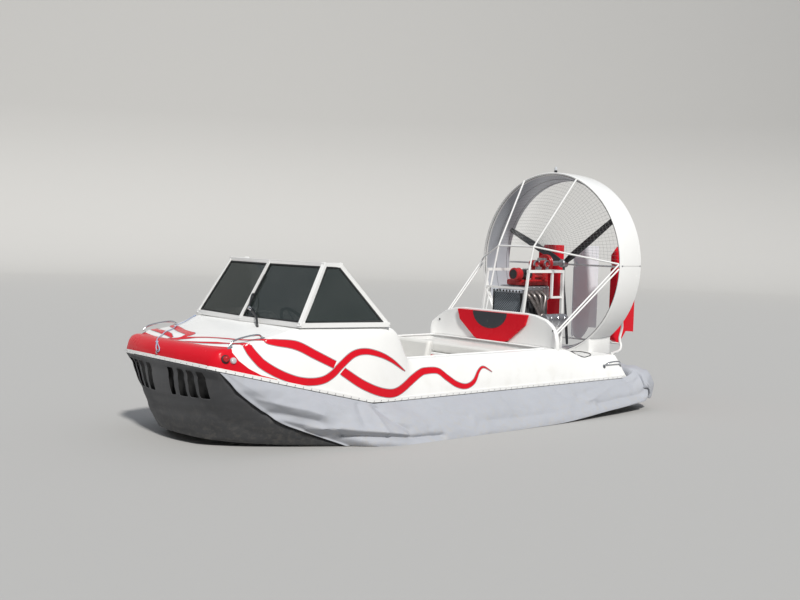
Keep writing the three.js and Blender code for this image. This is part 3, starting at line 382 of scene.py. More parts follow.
def glossy(name, colour, stain=(0.62, 0.60, 0.55), roughness=0.22, shine=0.32):
    """Sprayed gloss with orange peel, a little haze, and dust that gathers low down."""
    look = Look(name, colour, roughness, coat_weight=shine * 0.35, coat_roughness=0.08, specular_ior_level=shine)
    _, _, height = look.axes()
    haze = look.noise(2.2, 4).step(0.42, 0.78)
    low = (1 - height.step(0.25, 0.7)) * look.noise(9.0, 5).step(0.45, 0.75)
    look.paint(look.mixed((haze * 0.06 + low * 0.25).least(1.0), colour, stain))
    look.rough(haze * 0.12 + roughness)
    look.bumped(look.noise(260, 2), 0.0002, 0.35)
    return look


def powder_coat(name, colour, roughness=0.4):
    look = Look(name, colour, roughness, coat_weight=0.15)
    wear = look.noise(30, 4).step(0.62, 0.8)
    look.paint(look.mixed(wear * 0.35, colour, darker(colour, 0.72)))
    look.bumped(look.noise(900, 2), 0.0001, 0.5)
    return look


white_gel = glossy("white_gelcoat", WHITE)
red_gel = glossy("red_gelcoat", RED, RED_STAIN, shine=0.07)
charcoal = glossy("charcoal_gelcoat", (0.030, 0.033, 0.040), (0.08, 0.08, 0.08))
white_tube = powder_coat("white_powder_coat", (0.80, 0.80, 0.79))


def vinyl(name, colour):
    """Seat vinyl: a fine leather grain and a slight sheen."""
    look = Look(name, colour, 0.48, sheen_weight=0.15)
    inputs = {"Vector": look.place, "Scale": 420.0}
    grain = look.node("ShaderNodeTexVoronoi", {"feature": "DISTANCE_TO_EDGE"}, inputs)
    look.bumped(Field(look, grain.outputs["Distance"]), 0.0004, 0.5)
    soil = look.noise(6, 4).step(0.5, 0.8)
    look.paint(look.mixed(soil * 0.18, colour, darker(colour, 0.6)))
    return look


white_vinyl = vinyl("white_vinyl", (0.74, 0.73, 0.70))

# %% Coated fabric of the skirt
THREADS = 900.0


def skirt_fabric(name, colour, dust):
    """Coated woven fabric: a weave in the bump, cloudy darker patches and streaks of dust, splashes of dried silt low
    down.
    """
    look = Look(name, colour, 0.7, sheen_weight=0.1, specular_ior_level=0.25)
    x, y, z = look.axes()
    weave = ((y * THREADS).wave() * (z * THREADS).wave() + 1) * 0.5
    cloud = look.noise(3.5, 5).step(0.35, 0.75)
    splash = (1 - z.step(0.05, 0.34)) * look.noise(22, 6, rough=0.65).step(0.46, 0.66)
    streaks = look.noise(7, 4, stretch=(3, 3, 0.5)).step(0.5, 0.8)
    worn = look.mixed(cloud * 0.35, colour, darker(colour, 0.86))
    worn = look.mixed(streaks * 0.16, worn, dust)
    look.paint(look.mixed(splash * 0.42, worn, dust))
    look.rough(cloud * 0.15 + 0.60)
    look.bumped(weave * 0.25 + look.noise(60, 3) * 0.75, 0.0012, 0.4)
    return look


light_skirt = skirt_fabric("light_skirt_fabric", (0.40, 0.415, 0.455), (0.42, 0.40, 0.37))
# The bow panel is the same fabric as the sides, painted far darker as the shade it stands in.
shaded_skirt = skirt_fabric("skirt_fabric_painted_shade", (0.058, 0.059, 0.063), (0.15, 0.14, 0.125))
# Behind the slots only shade shows: a near-black painted shade, darker towards the bottom.
slot_shade = skirt_fabric("slot_shade_fabric", (0.040, 0.040, 0.042), (0.06, 0.055, 0.05))
depth = slot_shade.axes()[2].step(0.38, 0.58)
slot_shade.paint(slot_shade.mixed(depth, (0.004, 0.004, 0.004), (0.055, 0.054, 0.054)))

# %% Glass, rubber, black plastic and metals
# The glass is darkened, in base colour and opacity, as a painted reflection of dark surroundings.
glass_dark_reflection = Look("glass_painted_dark_reflection", (0.018, 0.026, 0.024), 0.03, specular_ior_level=0.5)
film = glass_dark_reflection.noise(1.6, 3, stretch=(1, 1, 2)).step(0.3, 0.8)
glass_dark_reflection.feed(glass_dark_reflection.shader.inputs["Alpha"], film * 0.08 + 0.80)
glass_dark_reflection.rough(film * 0.03 + 0.02)

rubber = Look("black_rubber", (0.012, 0.012, 0.013), 0.6)
rubber.bumped(rubber.noise(500, 3), 0.0003, 0.6)

black_satin = Look("black_satin", (0.016, 0.017, 0.019), 0.38)
black_satin.rough(black_satin.noise(40, 4) * 0.2 + 0.28)
black_satin.bumped(black_satin.noise(700, 2), 0.0001, 0.4)

polished = Look("polished_steel", (0.62, 0.63, 0.65), 0.12, metallic=1.0)
polished.rough(polished.noise(90, 3, stretch=(1, 6, 1)) * 0.16 + 0.06)


def castings(name, colour, roughness, oil=0.35, metallic=0.9):
    """Rough or machined metal with oily dirt in patches."""
    look = Look(name, colour, roughness, metallic=metallic)
    dirt = look.noise(24, 5).step(0.45, 0.7)
    look.paint(look.mixed(dirt * oil, colour, darker(colour, 0.25)))
    look.rough(dirt * 0.25 + roughness)
    look.bumped(look.noise(300, 4), 0.0005, 0.5)
    return look


dull_metal = castings("dull_metal", (0.42, 0.42, 0.44), 0.34)
exhaust_metal = castings("exhaust_metal", (0.30, 0.27, 0.26), 0.38, 0.6)
cast_block = castings("cast_block", (0.16, 0.16, 0.17), 0.5, 0.5)
wire_metal = Look("guard_wire", (0.16, 0.165, 0.17), 0.45, metallic=0.2)
wire_metal.rough(wire_metal.noise(200, 2) * 0.2 + 0.25)
oily_red = castings("oily_red", (0.45, 0.012, 0.016), 0.32, 0.45, 0.0)


def lens(name, colour, roughness=0.08, clear=0.25):
    """A moulded lamp cover with fine ribs inside."""
    look = Look(name, colour, roughness, transmission_weight=clear, coat_weight=0.6)
    look.bumped(look.noise(350, 1), 0.0003, 0.3)
    return look


red_lens = lens("red_lens", (0.55, 0.01, 0.015))
green_lens = lens("green_lens", (0.01, 0.32, 0.08))
clear_lens = lens("clear_lens", (0.72, 0.75, 0.78), 0.06, 0.3)

braid = Look("braided_rope", (0.62, 0.66, 0.74), 0.8)
bx, by, bz = braid.axes()
strands = (((bx - by) * 900.0 + bz * 500.0).wave() * ((bx + by) * 700.0).wave()).step(-0.2, 0.3)
braid.paint(braid.mixed(strands, (0.14, 0.22, 0.42), (0.66, 0.68, 0.72)))
braid.bumped(strands, 0.0006, 0.7)
for piece in (rope, hitch, hitch_knot, end_knot):
    piece.data.materials.append(braid.material)
print("finishes:", len(bpy.data.materials))

# %% [markdown]
# ## Mesh helpers
# Nearly every piece here is a section swept along a path, a profile turned about an axis, or rings
# of points joined into a skin. One Maker gathers such forms, with a finish for each, into one mesh.

# %% Paths
def curve_through(points, count):
    """Evenly spaced points on a smooth curve through a few."""
    p = [Vector(q) for q in points]
    p = [p[0] * 2 - p[1], *p, p[-1] * 2 - p[-2]]
    dense = []
    for i in range(1, len(p) - 2):
        for k in range(24):
            t = k / 24
            a, b, c, d = p[i - 1:i + 3]
            dense.append(0.5 * (2 * b + (c - a) * t + (2 * a - 5 * b + 4 * c - d) * t * t
                                + (3 * b - a - 3 * c + d) * t ** 3))
    dense.append(p[-2])
    return spaced(dense, count)


def spaced(line, count):
    """The same line with its points at even distances."""
    line = np.array([tuple(q) for q in line], float)
    along = np.concatenate([[0], np.cumsum(np.linalg.norm(np.diff(line, axis=0), axis=1))])
    at = np.linspace(0, along[-1], count)
    return [Vector(q) for q in np.stack([np.interp(at, along, line[:, k]) for k in range(3)], axis=1)]


def circle(radius, sides):
    return [(radius * math.cos(2 * math.pi * k / sides), radius * math.sin(2 * math.pi * k / sides))
            for k in range(sides)]


def rounded_box(width, height, corner, steps=3):
    """The outline of a box section with round corners."""
    outline = []
    for quarter, (sx, sy) in enumerate(((1, 1), (-1, 1), (-1, -1), (1, -1))):
        for k in range(steps + 1):
            angle = math.pi / 2 * (quarter + k / steps)
            outline.append((sx * (width / 2 - corner) + corner * math.cos(angle),
                            sy * (height / 2 - corner) + corner * math.sin(angle)))
    return outline


# %% The Maker
class Maker:
    """Gathers tubes, skins and turned forms, each with its finish, into one piece."""

    def __init__(self, name):
        self.name = name
        self.points, self.faces, self.marks, self.looks = [], [], [], []

    def add(self, points, faces, look):
        if look not in self.looks:
            self.looks.append(look)
        start = len(self.points)
        self.points += [Vector(p) for p in points]
        self.faces += [tuple(start + i for i in face) for face in faces]
        self.marks += [self.looks.index(look)] * len(faces)
        return self

    def skin(self, rings, look, closed=True, joined=False):
        """Quads between rings of points. closed joins each ring, joined the last ring to the first."""
        count = len(rings[0])
        faces = []
        for r in range(len(rings) - (0 if joined else 1)):
            for i in range(count - (0 if closed else 1)):
                a, b = r * count + i, r * count + (i + 1) % count
                c, d = (((r + 1) % len(rings)) * count + q for q in ((i + 1) % count, i))
                faces.append((a, b, c, d))
        if closed and not joined:
            faces.append(tuple(range(count))[::-1])
            faces.append(tuple(range((len(rings) - 1) * count, len(rings) * count)))
        return self.add([p for ring in rings for p in ring], faces, look)

    def sweep(self, path, section, look, up=UP, joined=False):
        """A section carried along a path with mitred corners."""
        path = [Vector(p) for p in path]
        last = len(path) - 1
        steps = [path[(i + 1) % len(path)] - path[i] for i in range(len(path) if joined else last)]
        ahead = [s.normalized() for s in steps]
        side = Vector(up).cross(ahead[0])
        if side.length < 0.05:
            side = Vector((1, 0, 0)).cross(ahead[0])
        side.normalize()
        rings = []
        for i, spot in enumerate(path):
            back = ahead[i - 1] if i or joined else ahead[0]
            front = ahead[i % len(ahead)] if i < last or joined else ahead[-1]
            if i > 1:
                side = back.rotation_difference(ahead[i - 2]).inverted() @ side
            over = back.cross(side).normalized()
            plane = (back + front).normalized()
            ring = []
            for u, v in section:
                offset = side * u + over * v
                offset -= back * (offset.dot(plane) / max(back.dot(plane), 0.2))
                ring.append(spot + offset)
            rings.append(ring)
        return self.skin(rings, look, joined=joined)

    def tube(self, path, radius, look, sides=12, joined=False):
        return self.sweep(path, circle(radius, sides), look, joined=joined)

    def turned(self, profile, spot, axis, look, steps=32):
        """A profile of (radius, along) turned about an axis through a spot."""
        axis = Vector(axis).normalized()
        spot = Vector(spot)
        side = axis.orthogonal().normalized()
        over = axis.cross(side)
        rings = []
        for radius, along in profile:
            centre = spot + axis * along
            rings.append([centre + (side * u + over * v) * max(radius, 1e-5) for u, v in circle(1, steps)])
        return self.skin(rings, look)

    def block(self, low, high, look, corner=0.006):
        """A box with every edge softened."""
        low, high = Vector(low), Vector(high)
        size = high - low
        corner = min(corner, *(s * 0.45 for s in size))
        rings = []
        for lift, inset in ((0, corner), (corner * 0.3, corner * 0.3), (corner, 0),
                            (size.z - corner, 0), (size.z - corner * 0.3, corner * 0.3), (size.z, corner)):
            outline = rounded_box(size.x - 2 * inset, size.y - 2 * inset, max(corner - inset * 0.5, 1e-4), 2)
            middle = (low + high) / 2
            rings.append([Vector((middle.x + u, middle.y + v, low.z + lift)) for u, v in outline])
        return self.skin(rings, look)

    def dots(self, spots, radius, look, flat=0.5, sides=8):
        """Domed heads, such as rivets, on (spot, outward direction) pairs."""
        dome = [(1.0, 0.0), (0.92, 0.4), (0.6, 0.8), (0.02, 1.0)]
        for spot, out in spots:
            self.turned([(r * radius, h * radius * flat) for r, h in dome], spot, out, look, sides)
        return self

    def done(self, body, *nodes, slot=None, angle=32, weld=False):
        """Builds the mesh and fits the piece to its body and its nodes. The slot is not used."""
        mesh = bpy.data.meshes.new(self.name)
        mesh.from_pydata([tuple(p) for p in self.points], [], self.faces)
        for look in self.looks:
            mesh.materials.append(look.material)
        mesh.polygons.foreach_set("material_index", self.marks)
        work = bmesh.new()
        work.from_mesh(mesh)
        if weld:
            bmesh.ops.remove_doubles(work, verts=work.verts, dist=1e-5)
        bmesh.ops.recalc_face_normals(work, faces=work.faces)
        work.to_mesh(mesh)
        work.free()
        smoothed(mesh, angle)
        return fitted(linked(self.name, mesh), body, nodes)


def set_finish(node, look):
    """Paints a CAD node that keeps its own shape."""
    solid = frame["nodes"][node]
    for holder in solid.material_slots:
        holder.material = look.material
    solid.data.set_sharp_from_angle(angle=math.radians(30))


def flipped(points, side):
    return [Vector((p[0] * side, p[1], p[2])) for p in points]


# %% [markdown]
# ## Deck moulding
# The upper hull is one glass-fibre moulding: a rounded nose, a cowl that carries the windshield, low
# gunwales and a flat after deck. It is a skin over the same stations as the solid, interpolated
# smoothly, with the cockpit well cut out by a boolean, as a mould maker would trim it.

# %% Hull lines
BOW_FACE, KNUCKLE, TRANSOM, TRANSOM_FOOT = -2.430, -1.136, 1.745, 1.834
SWEEP_END, SWEEP, BOW_CORNER = -1.900, 0.072, 0.070
NOSE = 0.150


def rim_height(y):
    return 0.296 + 0.235 * max(0.0, KNUCKLE - y)


def rim_half(y):
    return 0.861 - 0.163 * max(0.0, KNUCKLE - y)


def swept(x, y):
    share = min(max((SWEEP_END - y) / (SWEEP_END - BOW_FACE), 0.0), 1.0)
    return y + SWEEP * (x / rim_half(BOW_FACE)) ** 2 * share


# Along the craft: station, shoulder half width and height, height of the middle, inset of the edge
DECK_STATIONS = [
    (-2.225, 0.648, 0.722, 0.752, 0.045), (-2.080, 0.650, 0.735, 0.775, 0.045),
    (-1.900, 0.668, 0.768, 0.812, 0.045), (-1.740, 0.700, 0.815, 0.848, 0.045),
    (-1.678, 0.716, 0.826, 0.852, 0.045), (-1.360, 0.790, 0.826, 0.852, 0.045),
    (-1.136, 0.845, 0.830, 0.855, 0.045), (-1.040, 0.862, 0.834, 0.855, 0.045),
    (-0.963, 0.862, 0.815, 0.835, 0.045), (-0.902, 0.856, 0.760, 0.780, 0.045),
    (-0.860, 0.848, 0.690, 0.710, 0.045), (-0.812, 0.836, 0.616, 0.640, 0.045),
    (-0.770, 0.822, 0.580, 0.602, 0.045), (-0.700, 0.815, 0.570, 0.592, 0.045),
    (0.900, 0.815, 0.570, 0.592, 0.045), (1.040, 0.812, 0.562, 0.584, 0.045),
    (1.321, 0.808, 0.484, 0.506, 0.045), (TRANSOM, 0.805, 0.480, 0.500, 0.045),
    (TRANSOM_FOOT, 0.855, 0.310, 0.332, 0.045),
]
EDGE_RISE, SIDE_SWELL, SIDE_STEPS, RING_PITCH = 0.018, 0.010, 8, 0.045


def nose_stations():
    rows = []
    for degrees in (4, 10, 20, 30, 40, 50, 60, 70, 80, 90):
        angle = math.radians(degrees)
        reach = NOSE * (1 - math.cos(angle))
        y = BOW_FACE + reach
        lift = NOSE * math.sin(angle)
        turned_in = max(0.0, 1 - reach / BOW_CORNER)
        half = rim_half(y) - BOW_CORNER * (1 - math.sqrt(1 - turned_in ** 2))
        low = rim_height(y)
        rows.append((y, half, half - 0.018, low + lift * 0.8, low + lift, low + lift + 0.008, 0.050))
    return rows


def all_stations():
    rows = nose_stations()
    for y, shoulder, shoulder_z, crown, inset in DECK_STATIONS:
        rows.append((y, rim_half(y), shoulder, shoulder_z, shoulder_z + EDGE_RISE, crown, inset))
    return np.array(rows)


def smooth_column(at, x, y):
    """Cubic interpolation that never overshoots its stations."""
    h, d = np.diff(x), np.diff(y) / np.diff(x)
    slope = np.zeros_like(y)
    for i in range(1, len(y) - 1):
        if d[i - 1] * d[i] > 0:
            w1, w2 = 2 * h[i] + h[i - 1], h[i] + 2 * h[i - 1]
            slope[i] = (w1 + w2) / (w1 / d[i - 1] + w2 / d[i])
    slope[0], slope[-1] = d[0], d[-1]
    i = np.clip(np.searchsorted(x, at) - 1, 0, len(h) - 1)
    t = (at - x[i]) / h[i]
    return (y[i] * (1 + 2 * t) * (1 - t) ** 2 + slope[i] * h[i] * t * (1 - t) ** 2
            + y[i + 1] * t * t * (3 - 2 * t) + slope[i + 1] * h[i] * t * t * (t - 1))


def deck_rings():
    table = all_stations()
    nose = len(nose_stations())
    between = [table[:nose, 0]]
    for a, b in zip(table[nose - 1:-1, 0], table[nose:, 0]):
        count = max(2, int((b - a) / RING_PITCH))
        between.append(np.linspace(a, b, count + 1)[1:])
    at = np.concatenate(between)
    columns = [smooth_column(at, table[:, 0], table[:, k]) for k in range(1, 7)]
    rings = []
    for row, y in enumerate(at):
        half, shoulder, shoulder_z, edge_z, crown, inset = (c[row] for c in columns)
        rings.append(deck_ring(y, half, shoulder, shoulder_z, edge_z, crown, inset))
    return rings


def bend(a, control, b, t):
    """A point on the quadratic curve from a to b."""
    return a * (1 - t) ** 2 + 2 * control * t * (1 - t) + b * t * t


def deck_ring(y, half, shoulder, shoulder_z, edge_z, crown, inset):
    """One closed cross-section: up the port side, over the deck, down and back underneath."""
    low = rim_height(y)
    middle = (half + shoulder) / 2
    control_x, control_z = 2 * (middle + SIDE_SWELL) - middle, (low + shoulder_z) / 2
    side = [(bend(half, control_x, shoulder, k / SIDE_STEPS), bend(low, control_z, shoulder_z, k / SIDE_STEPS))
            for k in range(SIDE_STEPS + 1)]
    edge, rise = shoulder - inset, edge_z - shoulder_z
    corner = [(shoulder - inset * 0.10, shoulder_z + rise * 0.50), (shoulder - inset * 0.35, shoulder_z + rise * 0.86)]
    top = [(edge * s, edge_z + (crown - edge_z) * (1 - s * s)) for s in (1.0, 0.93, 0.8, 0.6, 0.4, 0.2)]
    half_line = side + corner + top
    outline = half_line + [(0.0, crown)] + [(-u, v) for u, v in reversed(half_line)]
    # A height of None lies on the rim, for the flat underside
    outline += [(half * s, None) for s in (-0.66, -0.33, 0.0, 0.33, 0.66)]
    ring = []
    for x, z in outline:
        y_here = swept(x, y)
        ring.append(Vector((x, y_here, rim_height(y_here) if z is None or z <= low else z)))
    return ring


# %% Build the deck and trim out the cockpit well
DECK_ANGLE = 38
# The well's plan, anticlockwise from the port bow corner: x, y
WELL = [(0.560, -1.600), (0.725, -1.040), (0.725, 0.880), (-0.725, 0.880), (-0.725, -1.040), (-0.560, -1.600)]
WELL_CORNER, CORNER_STEPS = 0.05, 5


def rounded(plan, reach, shares):
    """A closed outline whose corners are turned in a curve that starts at a reach from each."""
    plan = [Vector(spot) for spot in plan]
    outline = []
    for i, here in enumerate(plan):
        before, after = plan[i - 1], plan[(i + 1) % len(plan)]
        start = here + (before - here).normalized() * reach
        end = here + (after - here).normalized() * reach
        outline += [bend(start, here, end, t) for t in shares]
    return outline


def baked(piece):
    """Applies the piece's modifiers to its mesh."""
    bpy.context.view_layer.update()
    shown = piece.evaluated_get(bpy.context.evaluated_depsgraph_get())
    piece.data = bpy.data.meshes.new_from_object(shown)
    piece.modifiers.clear()
    return piece


def cut_with(piece, cutter):
    """Takes the cutter's form out of the piece and throws the cutter away."""
    trim = piece.modifiers.new("trim", "BOOLEAN")
    trim.operation, trim.solver, trim.object = "DIFFERENCE", "EXACT", cutter
    baked(piece)
    bpy.data.objects.remove(cutter)
    return piece


def surface_of(piece):
    """A search tree over the piece's triangles."""
    shown = piece.evaluated_get(bpy.context.evaluated_depsgraph_get())
    mesh = shown.to_mesh()
    mesh.calc_loop_triangles()
    tree = BVHTree.FromPolygons([v.co.copy() for v in mesh.vertices],
                                [tuple(t.vertices) for t in mesh.loop_triangles])
    shown.to_mesh_clear()
    return tree


well_outline = rounded(WELL, WELL_CORNER, [k / CORNER_STEPS for k in range(CORNER_STEPS + 1)])
deck_maker = Maker("deck_shell")
deck_maker.skin(deck_rings(), white_gel)
deck = deck_maker.done("craft", "deck_moulding", slot="white_gelcoat", angle=DECK_ANGLE)
whole_deck = surface_of(deck)
cutter_maker = Maker("well_cutter")
cutter_maker.skin([[(p.x, p.y, z) for p in well_outline] for z in (0.05, 1.3)], white_gel)
deck = cut_with(deck, cutter_maker.done("craft"))
deck.data.set_sharp_from_angle(angle=math.radians(DECK_ANGLE))
print("deck faces:", len(deck.data.polygons))

# %% [markdown]
# The nose is sprayed red back to its crest, and the red runs aft along the rim in a point. A ramp
# holds the line where the red ends, by height, and the same white gelcoat shows behind it.

# %% Two-tone paint on the deck
NOSE_LINE = [(0.500, -1.900), (0.514, -1.950), (0.533, -2.017), (0.581, -2.106), (0.639, -2.179),
             (0.695, -2.219), (0.726, -2.213), (0.775, -2.213)]
LINE_LOW, LINE_HIGH = 0.48, 0.78
LINE_AFT, LINE_FORE = -1.85, -2.30
# Across the crest the line bows forward by this much at the middle, easing off with x squared
CREST_BOW, CREST_BEND = 0.077, 0.214
EDGE_SOFTNESS = 0.0015


def two_tone():
    """White gelcoat with the red nose. The line is a ramp from height to station along the craft."""
    look = glossy("deck_two_tone", WHITE, shine=0.10)
    x, y, z = look.axes()
    share = (z - LINE_LOW) * (1 / (LINE_HIGH - LINE_LOW))
    stops = [((h - LINE_LOW) / (LINE_HIGH - LINE_LOW), (edge - LINE_FORE) / (LINE_AFT - LINE_FORE))
             for h, edge in NOSE_LINE]
    line = look.node("ShaderNodeValToRGB", {"stops": stops}, {0: share})
    bowed = (CREST_BOW - x * x * CREST_BEND).most(0.0) * z.step(0.700, 0.722)
    limit = Field(look, line.outputs[0]) * (LINE_AFT - LINE_FORE) + LINE_FORE - bowed
    red = (limit - y).step(-EDGE_SOFTNESS, EDGE_SOFTNESS)
    fade = look.noise(5, 3).step(0.3, 0.8)
    shaded = look.mixed(fade * 0.25, RED, darker(RED, 0.8))
    plain = look.shader.inputs["Base Color"].links[0].from_socket
    return look.paint(look.mixed(red, plain, shaded))


deck.data.materials.clear()
deck.data.materials.append(two_tone().material)

# %% [markdown]
# ## Ribbons
# Two red ribbons start as fine lines on the nose, swell down the side, cross, and run out in points.
# Each is a strip laid on the skin: its edges are snapped to the surface and lifted a hair, over a
# slightly wider grey strip that gives the soft outline. A gap in the second lets the first pass over.

# %% Ribbon tables and strips
# Along each ribbon: x, y, z on the port side, and its width there
FIRST_NOSE = [
    (0.060, -2.285, 0.723, 0.004), (0.223, -2.262, 0.728, 0.016), (0.393, -2.226, 0.737, 0.018),
    (0.542, -2.182, 0.743, 0.022),
]
FIRST_RIBBON = [
    (0.600, -2.142, 0.743, 0.046), (0.632, -2.104, 0.737, 0.062), (0.664, -2.077, 0.693, 0.066),
    (0.683, -2.042, 0.648, 0.066), (0.701, -1.995, 0.601, 0.064), (0.728, -1.885, 0.536, 0.058),
    (0.755, -1.752, 0.486, 0.052), (0.775, -1.635, 0.470, 0.050), (0.787, -1.539, 0.481, 0.050),
    (0.799, -1.465, 0.521, 0.049), (0.809, -1.406, 0.576, 0.048), (0.820, -1.305, 0.653, 0.046),
    (0.838, -1.207, 0.672, 0.042), (0.861, -1.090, 0.646, 0.036), (0.870, -0.978, 0.596, 0.026),
    (0.864, -0.871, 0.529, 0.012), (0.859, -0.835, 0.508, 0.002),
]
SECOND_NOSE = [
    (0.040, -2.262, 0.735, 0.006), (0.068, -2.243, 0.741, 0.024), (0.155, -2.212, 0.751, 0.026),
    (0.275, -2.154, 0.758, 0.026), (0.407, -2.100, 0.760, 0.024), (0.500, -2.062, 0.758, 0.022),
]
SECOND_FORE = [
    (0.600, -1.990, 0.764, 0.024), (0.655, -1.935, 0.757, 0.036), (0.676, -1.883, 0.750, 0.046),
    (0.718, -1.738, 0.727, 0.060), (0.758, -1.600, 0.658, 0.058), (0.800, -1.452, 0.584, 0.054),
]
# On the starboard half of the crest both ribbons are wider and wave more. x counts from the middle
# to starboard here, because that side's strips are mirrored.
FIRST_WAVE = [
    (0.100, -2.262, 0.735, 0.016), (0.212, -2.228, 0.747, 0.040), (0.312, -2.208, 0.749, 0.050),
    (0.443, -2.181, 0.748, 0.052), (0.530, -2.165, 0.746, 0.050),
]
SECOND_WAVE = [
    (0.130, -2.280, 0.724, 0.010), (0.061, -2.272, 0.726, 0.026), (0.005, -2.262, 0.732, 0.040),
    (-0.027, -2.235, 0.743, 0.056), (-0.020, -2.190, 0.757, 0.070), (0.019, -2.158, 0.763, 0.072),
    (0.086, -2.147, 0.763, 0.068), (0.214, -2.119, 0.765, 0.062), (0.353, -2.069, 0.767, 0.056),
    (0.510, -2.014, 0.769, 0.050),
]
SECOND_AFT = [
    (0.812, -1.392, 0.538, 0.056), (0.817, -1.373, 0.523, 0.058), (0.844, -1.222, 0.428, 0.060),
    (0.862, -1.061, 0.366, 0.060), (0.863, -0.924, 0.356, 0.062), (0.853, -0.776, 0.429, 0.062),
    (0.836, -0.664, 0.482, 0.052), (0.833, -0.602, 0.494, 0.048), (0.835, -0.483, 0.487, 0.044),
    (0.848, -0.392, 0.430, 0.044), (0.854, -0.292, 0.372, 0.042), (0.856, -0.189, 0.350, 0.038),
    (0.853, -0.103, 0.382, 0.034), (0.841, -0.041, 0.461, 0.022), (0.835, 0.018, 0.488, 0.014),
    (0.845, 0.108, 0.445, 0.002),
]
RIBBON_LIFT, OUTLINE = 0.0016, 0.010


def ribbon(maker, rows, side, look, lift, extra):
    """A strip along the rows, snapped to the deck and raised off it."""
    rows = [(Vector((x * side, y, z)), w) for x, y, z, w in rows]
    count = max(30, len(rows) * 9)
    path = curve_through([p for p, _ in rows], count)
    lengths = np.concatenate([[0], np.cumsum([(b[0] - a[0]).length for a, b in zip(rows, rows[1:])])])
    along = lengths / lengths[-1]
    widths = np.interp(np.linspace(0, 1, count), along, [w for _, w in rows])
    rings = []
    for i, spot in enumerate(path):
        ahead = (path[min(i + 1, count - 1)] - path[max(i - 1, 0)]).normalized()
        near, normal, _, _ = whole_deck.find_nearest(spot)
        across = ahead.cross(normal).normalized() * ((widths[i] + extra) / 2)
        places = [whole_deck.find_nearest(near + across * share) for share in (-1, -0.5, 0, 0.5, 1)]
        rings.append([on_skin + out * lift for on_skin, out, _, _ in places])
    maker.skin(rings, look, closed=False)


outline_grey = Look("ribbon_outline", (0.32, 0.33, 0.35), 0.3, coat_weight=0.3)
outline_grey.rough(outline_grey.noise(60, 2) * 0.1 + 0.25)
ribbon_red = glossy("ribbon_red", RED, RED_STAIN, shine=0.10)
NOSE_PARTS = {"port": (FIRST_NOSE, SECOND_NOSE), "starboard": (FIRST_WAVE, SECOND_WAVE)}
for name, side in SIDES:
    first_nose, second_nose = NOSE_PARTS[name]
    strips = Maker(f"ribbons_{name}")
    lines = (second_nose + SECOND_FORE, SECOND_AFT, first_nose + FIRST_RIBBON)
    for look, lift, extra in ((outline_grey, RIBBON_LIFT * 0.5, OUTLINE), (ribbon_red, RIBBON_LIFT, 0.0)):
        for rows in lines:
            ribbon(strips, rows, side, look, lift, extra)
    strips.done("craft", slot="red_gelcoat", angle=60)

# %% [markdown]
# ## Rim band
# A riveted white strip clamps the skirt under the edge of the moulding, all the way round. It is one
# section swept along the rim, with domed rivets a hand's width apart.

# %% Rim band and rivets
RIM_FOOT, BAND_OUT, BAND_POINTS = 0.296, 0.002, 170
RIVET_PITCH, RIVET_WALK, RIVET_RADIUS = 0.075, 6.6, 0.0042
BAND_SECTION = [(0.004, -0.004), (-0.010, -0.004), (-0.0145, 0.001), (-0.015, 0.015), (-0.014, 0.019), (0.004, 0.020)]


def rim_line(grow):
    """The rim from the stern centre up the port side to the bow centre."""
    half, stern = rim_half(0) + grow, TRANSOM_FOOT + grow
    line = [Vector((0, stern, RIM_FOOT)), Vector((0.55, stern, RIM_FOOT))]
    corner = Vector((half, stern, RIM_FOOT))
    line += [corner + Vector(off) for off in ((-0.03, 0, 0), (-0.008, -0.008, 0), (0, -0.03, 0))]
    for y in np.arange(1.6, KNUCKLE, -0.20):
        line.append(Vector((rim_half(y) + grow, y, rim_height(y))))
    # From the knuckle over the nose: x, station, how far ahead of the swept line
    spots = [(rim_half(y) + grow, y, 0) for y in np.arange(KNUCKLE - 0.02, -2.30, -0.06)]
    spots += [(row[1] + grow, row[0], grow * 0.6) for row in reversed(nose_stations()[:9])]
    spots += [(nose_stations()[0][1] * share, BOW_FACE, grow) for share in (0.75, 0.5, 0.25, 0.0)]
    for x, y, ahead in spots:
        y = swept(x, y) - ahead
        line.append(Vector((x, y, rim_height(y))))
    return line


port_rim = spaced(rim_line(BAND_OUT), BAND_POINTS)
band = Maker("rim_strip")
band.sweep(port_rim + flipped(reversed(port_rim[1:-1]), -1), BAND_SECTION, white_tube, joined=True)
rivets = []
walk = spaced(port_rim, int(RIVET_WALK / RIVET_PITCH))
for i, spot in enumerate(walk[1:-1], 1):
    ahead = (walk[i + 1] - walk[i - 1]).normalized()
    out = Vector((ahead.y, -ahead.x, 0)).normalized()
    if out.dot(Vector((spot.x, spot.y * 0.3, 0))) < 0:
        out = -out
    for side in (1, -1):
        place, away = flipped([(spot.x, spot.y, spot.z + 0.008), out], side)
        rivets.append((place + away * 0.0145, away))
band.dots(rivets, RIVET_RADIUS, dull_metal)
band.done("craft", "rim_band", slot="white_paint")
print("rivets:", len(rivets))
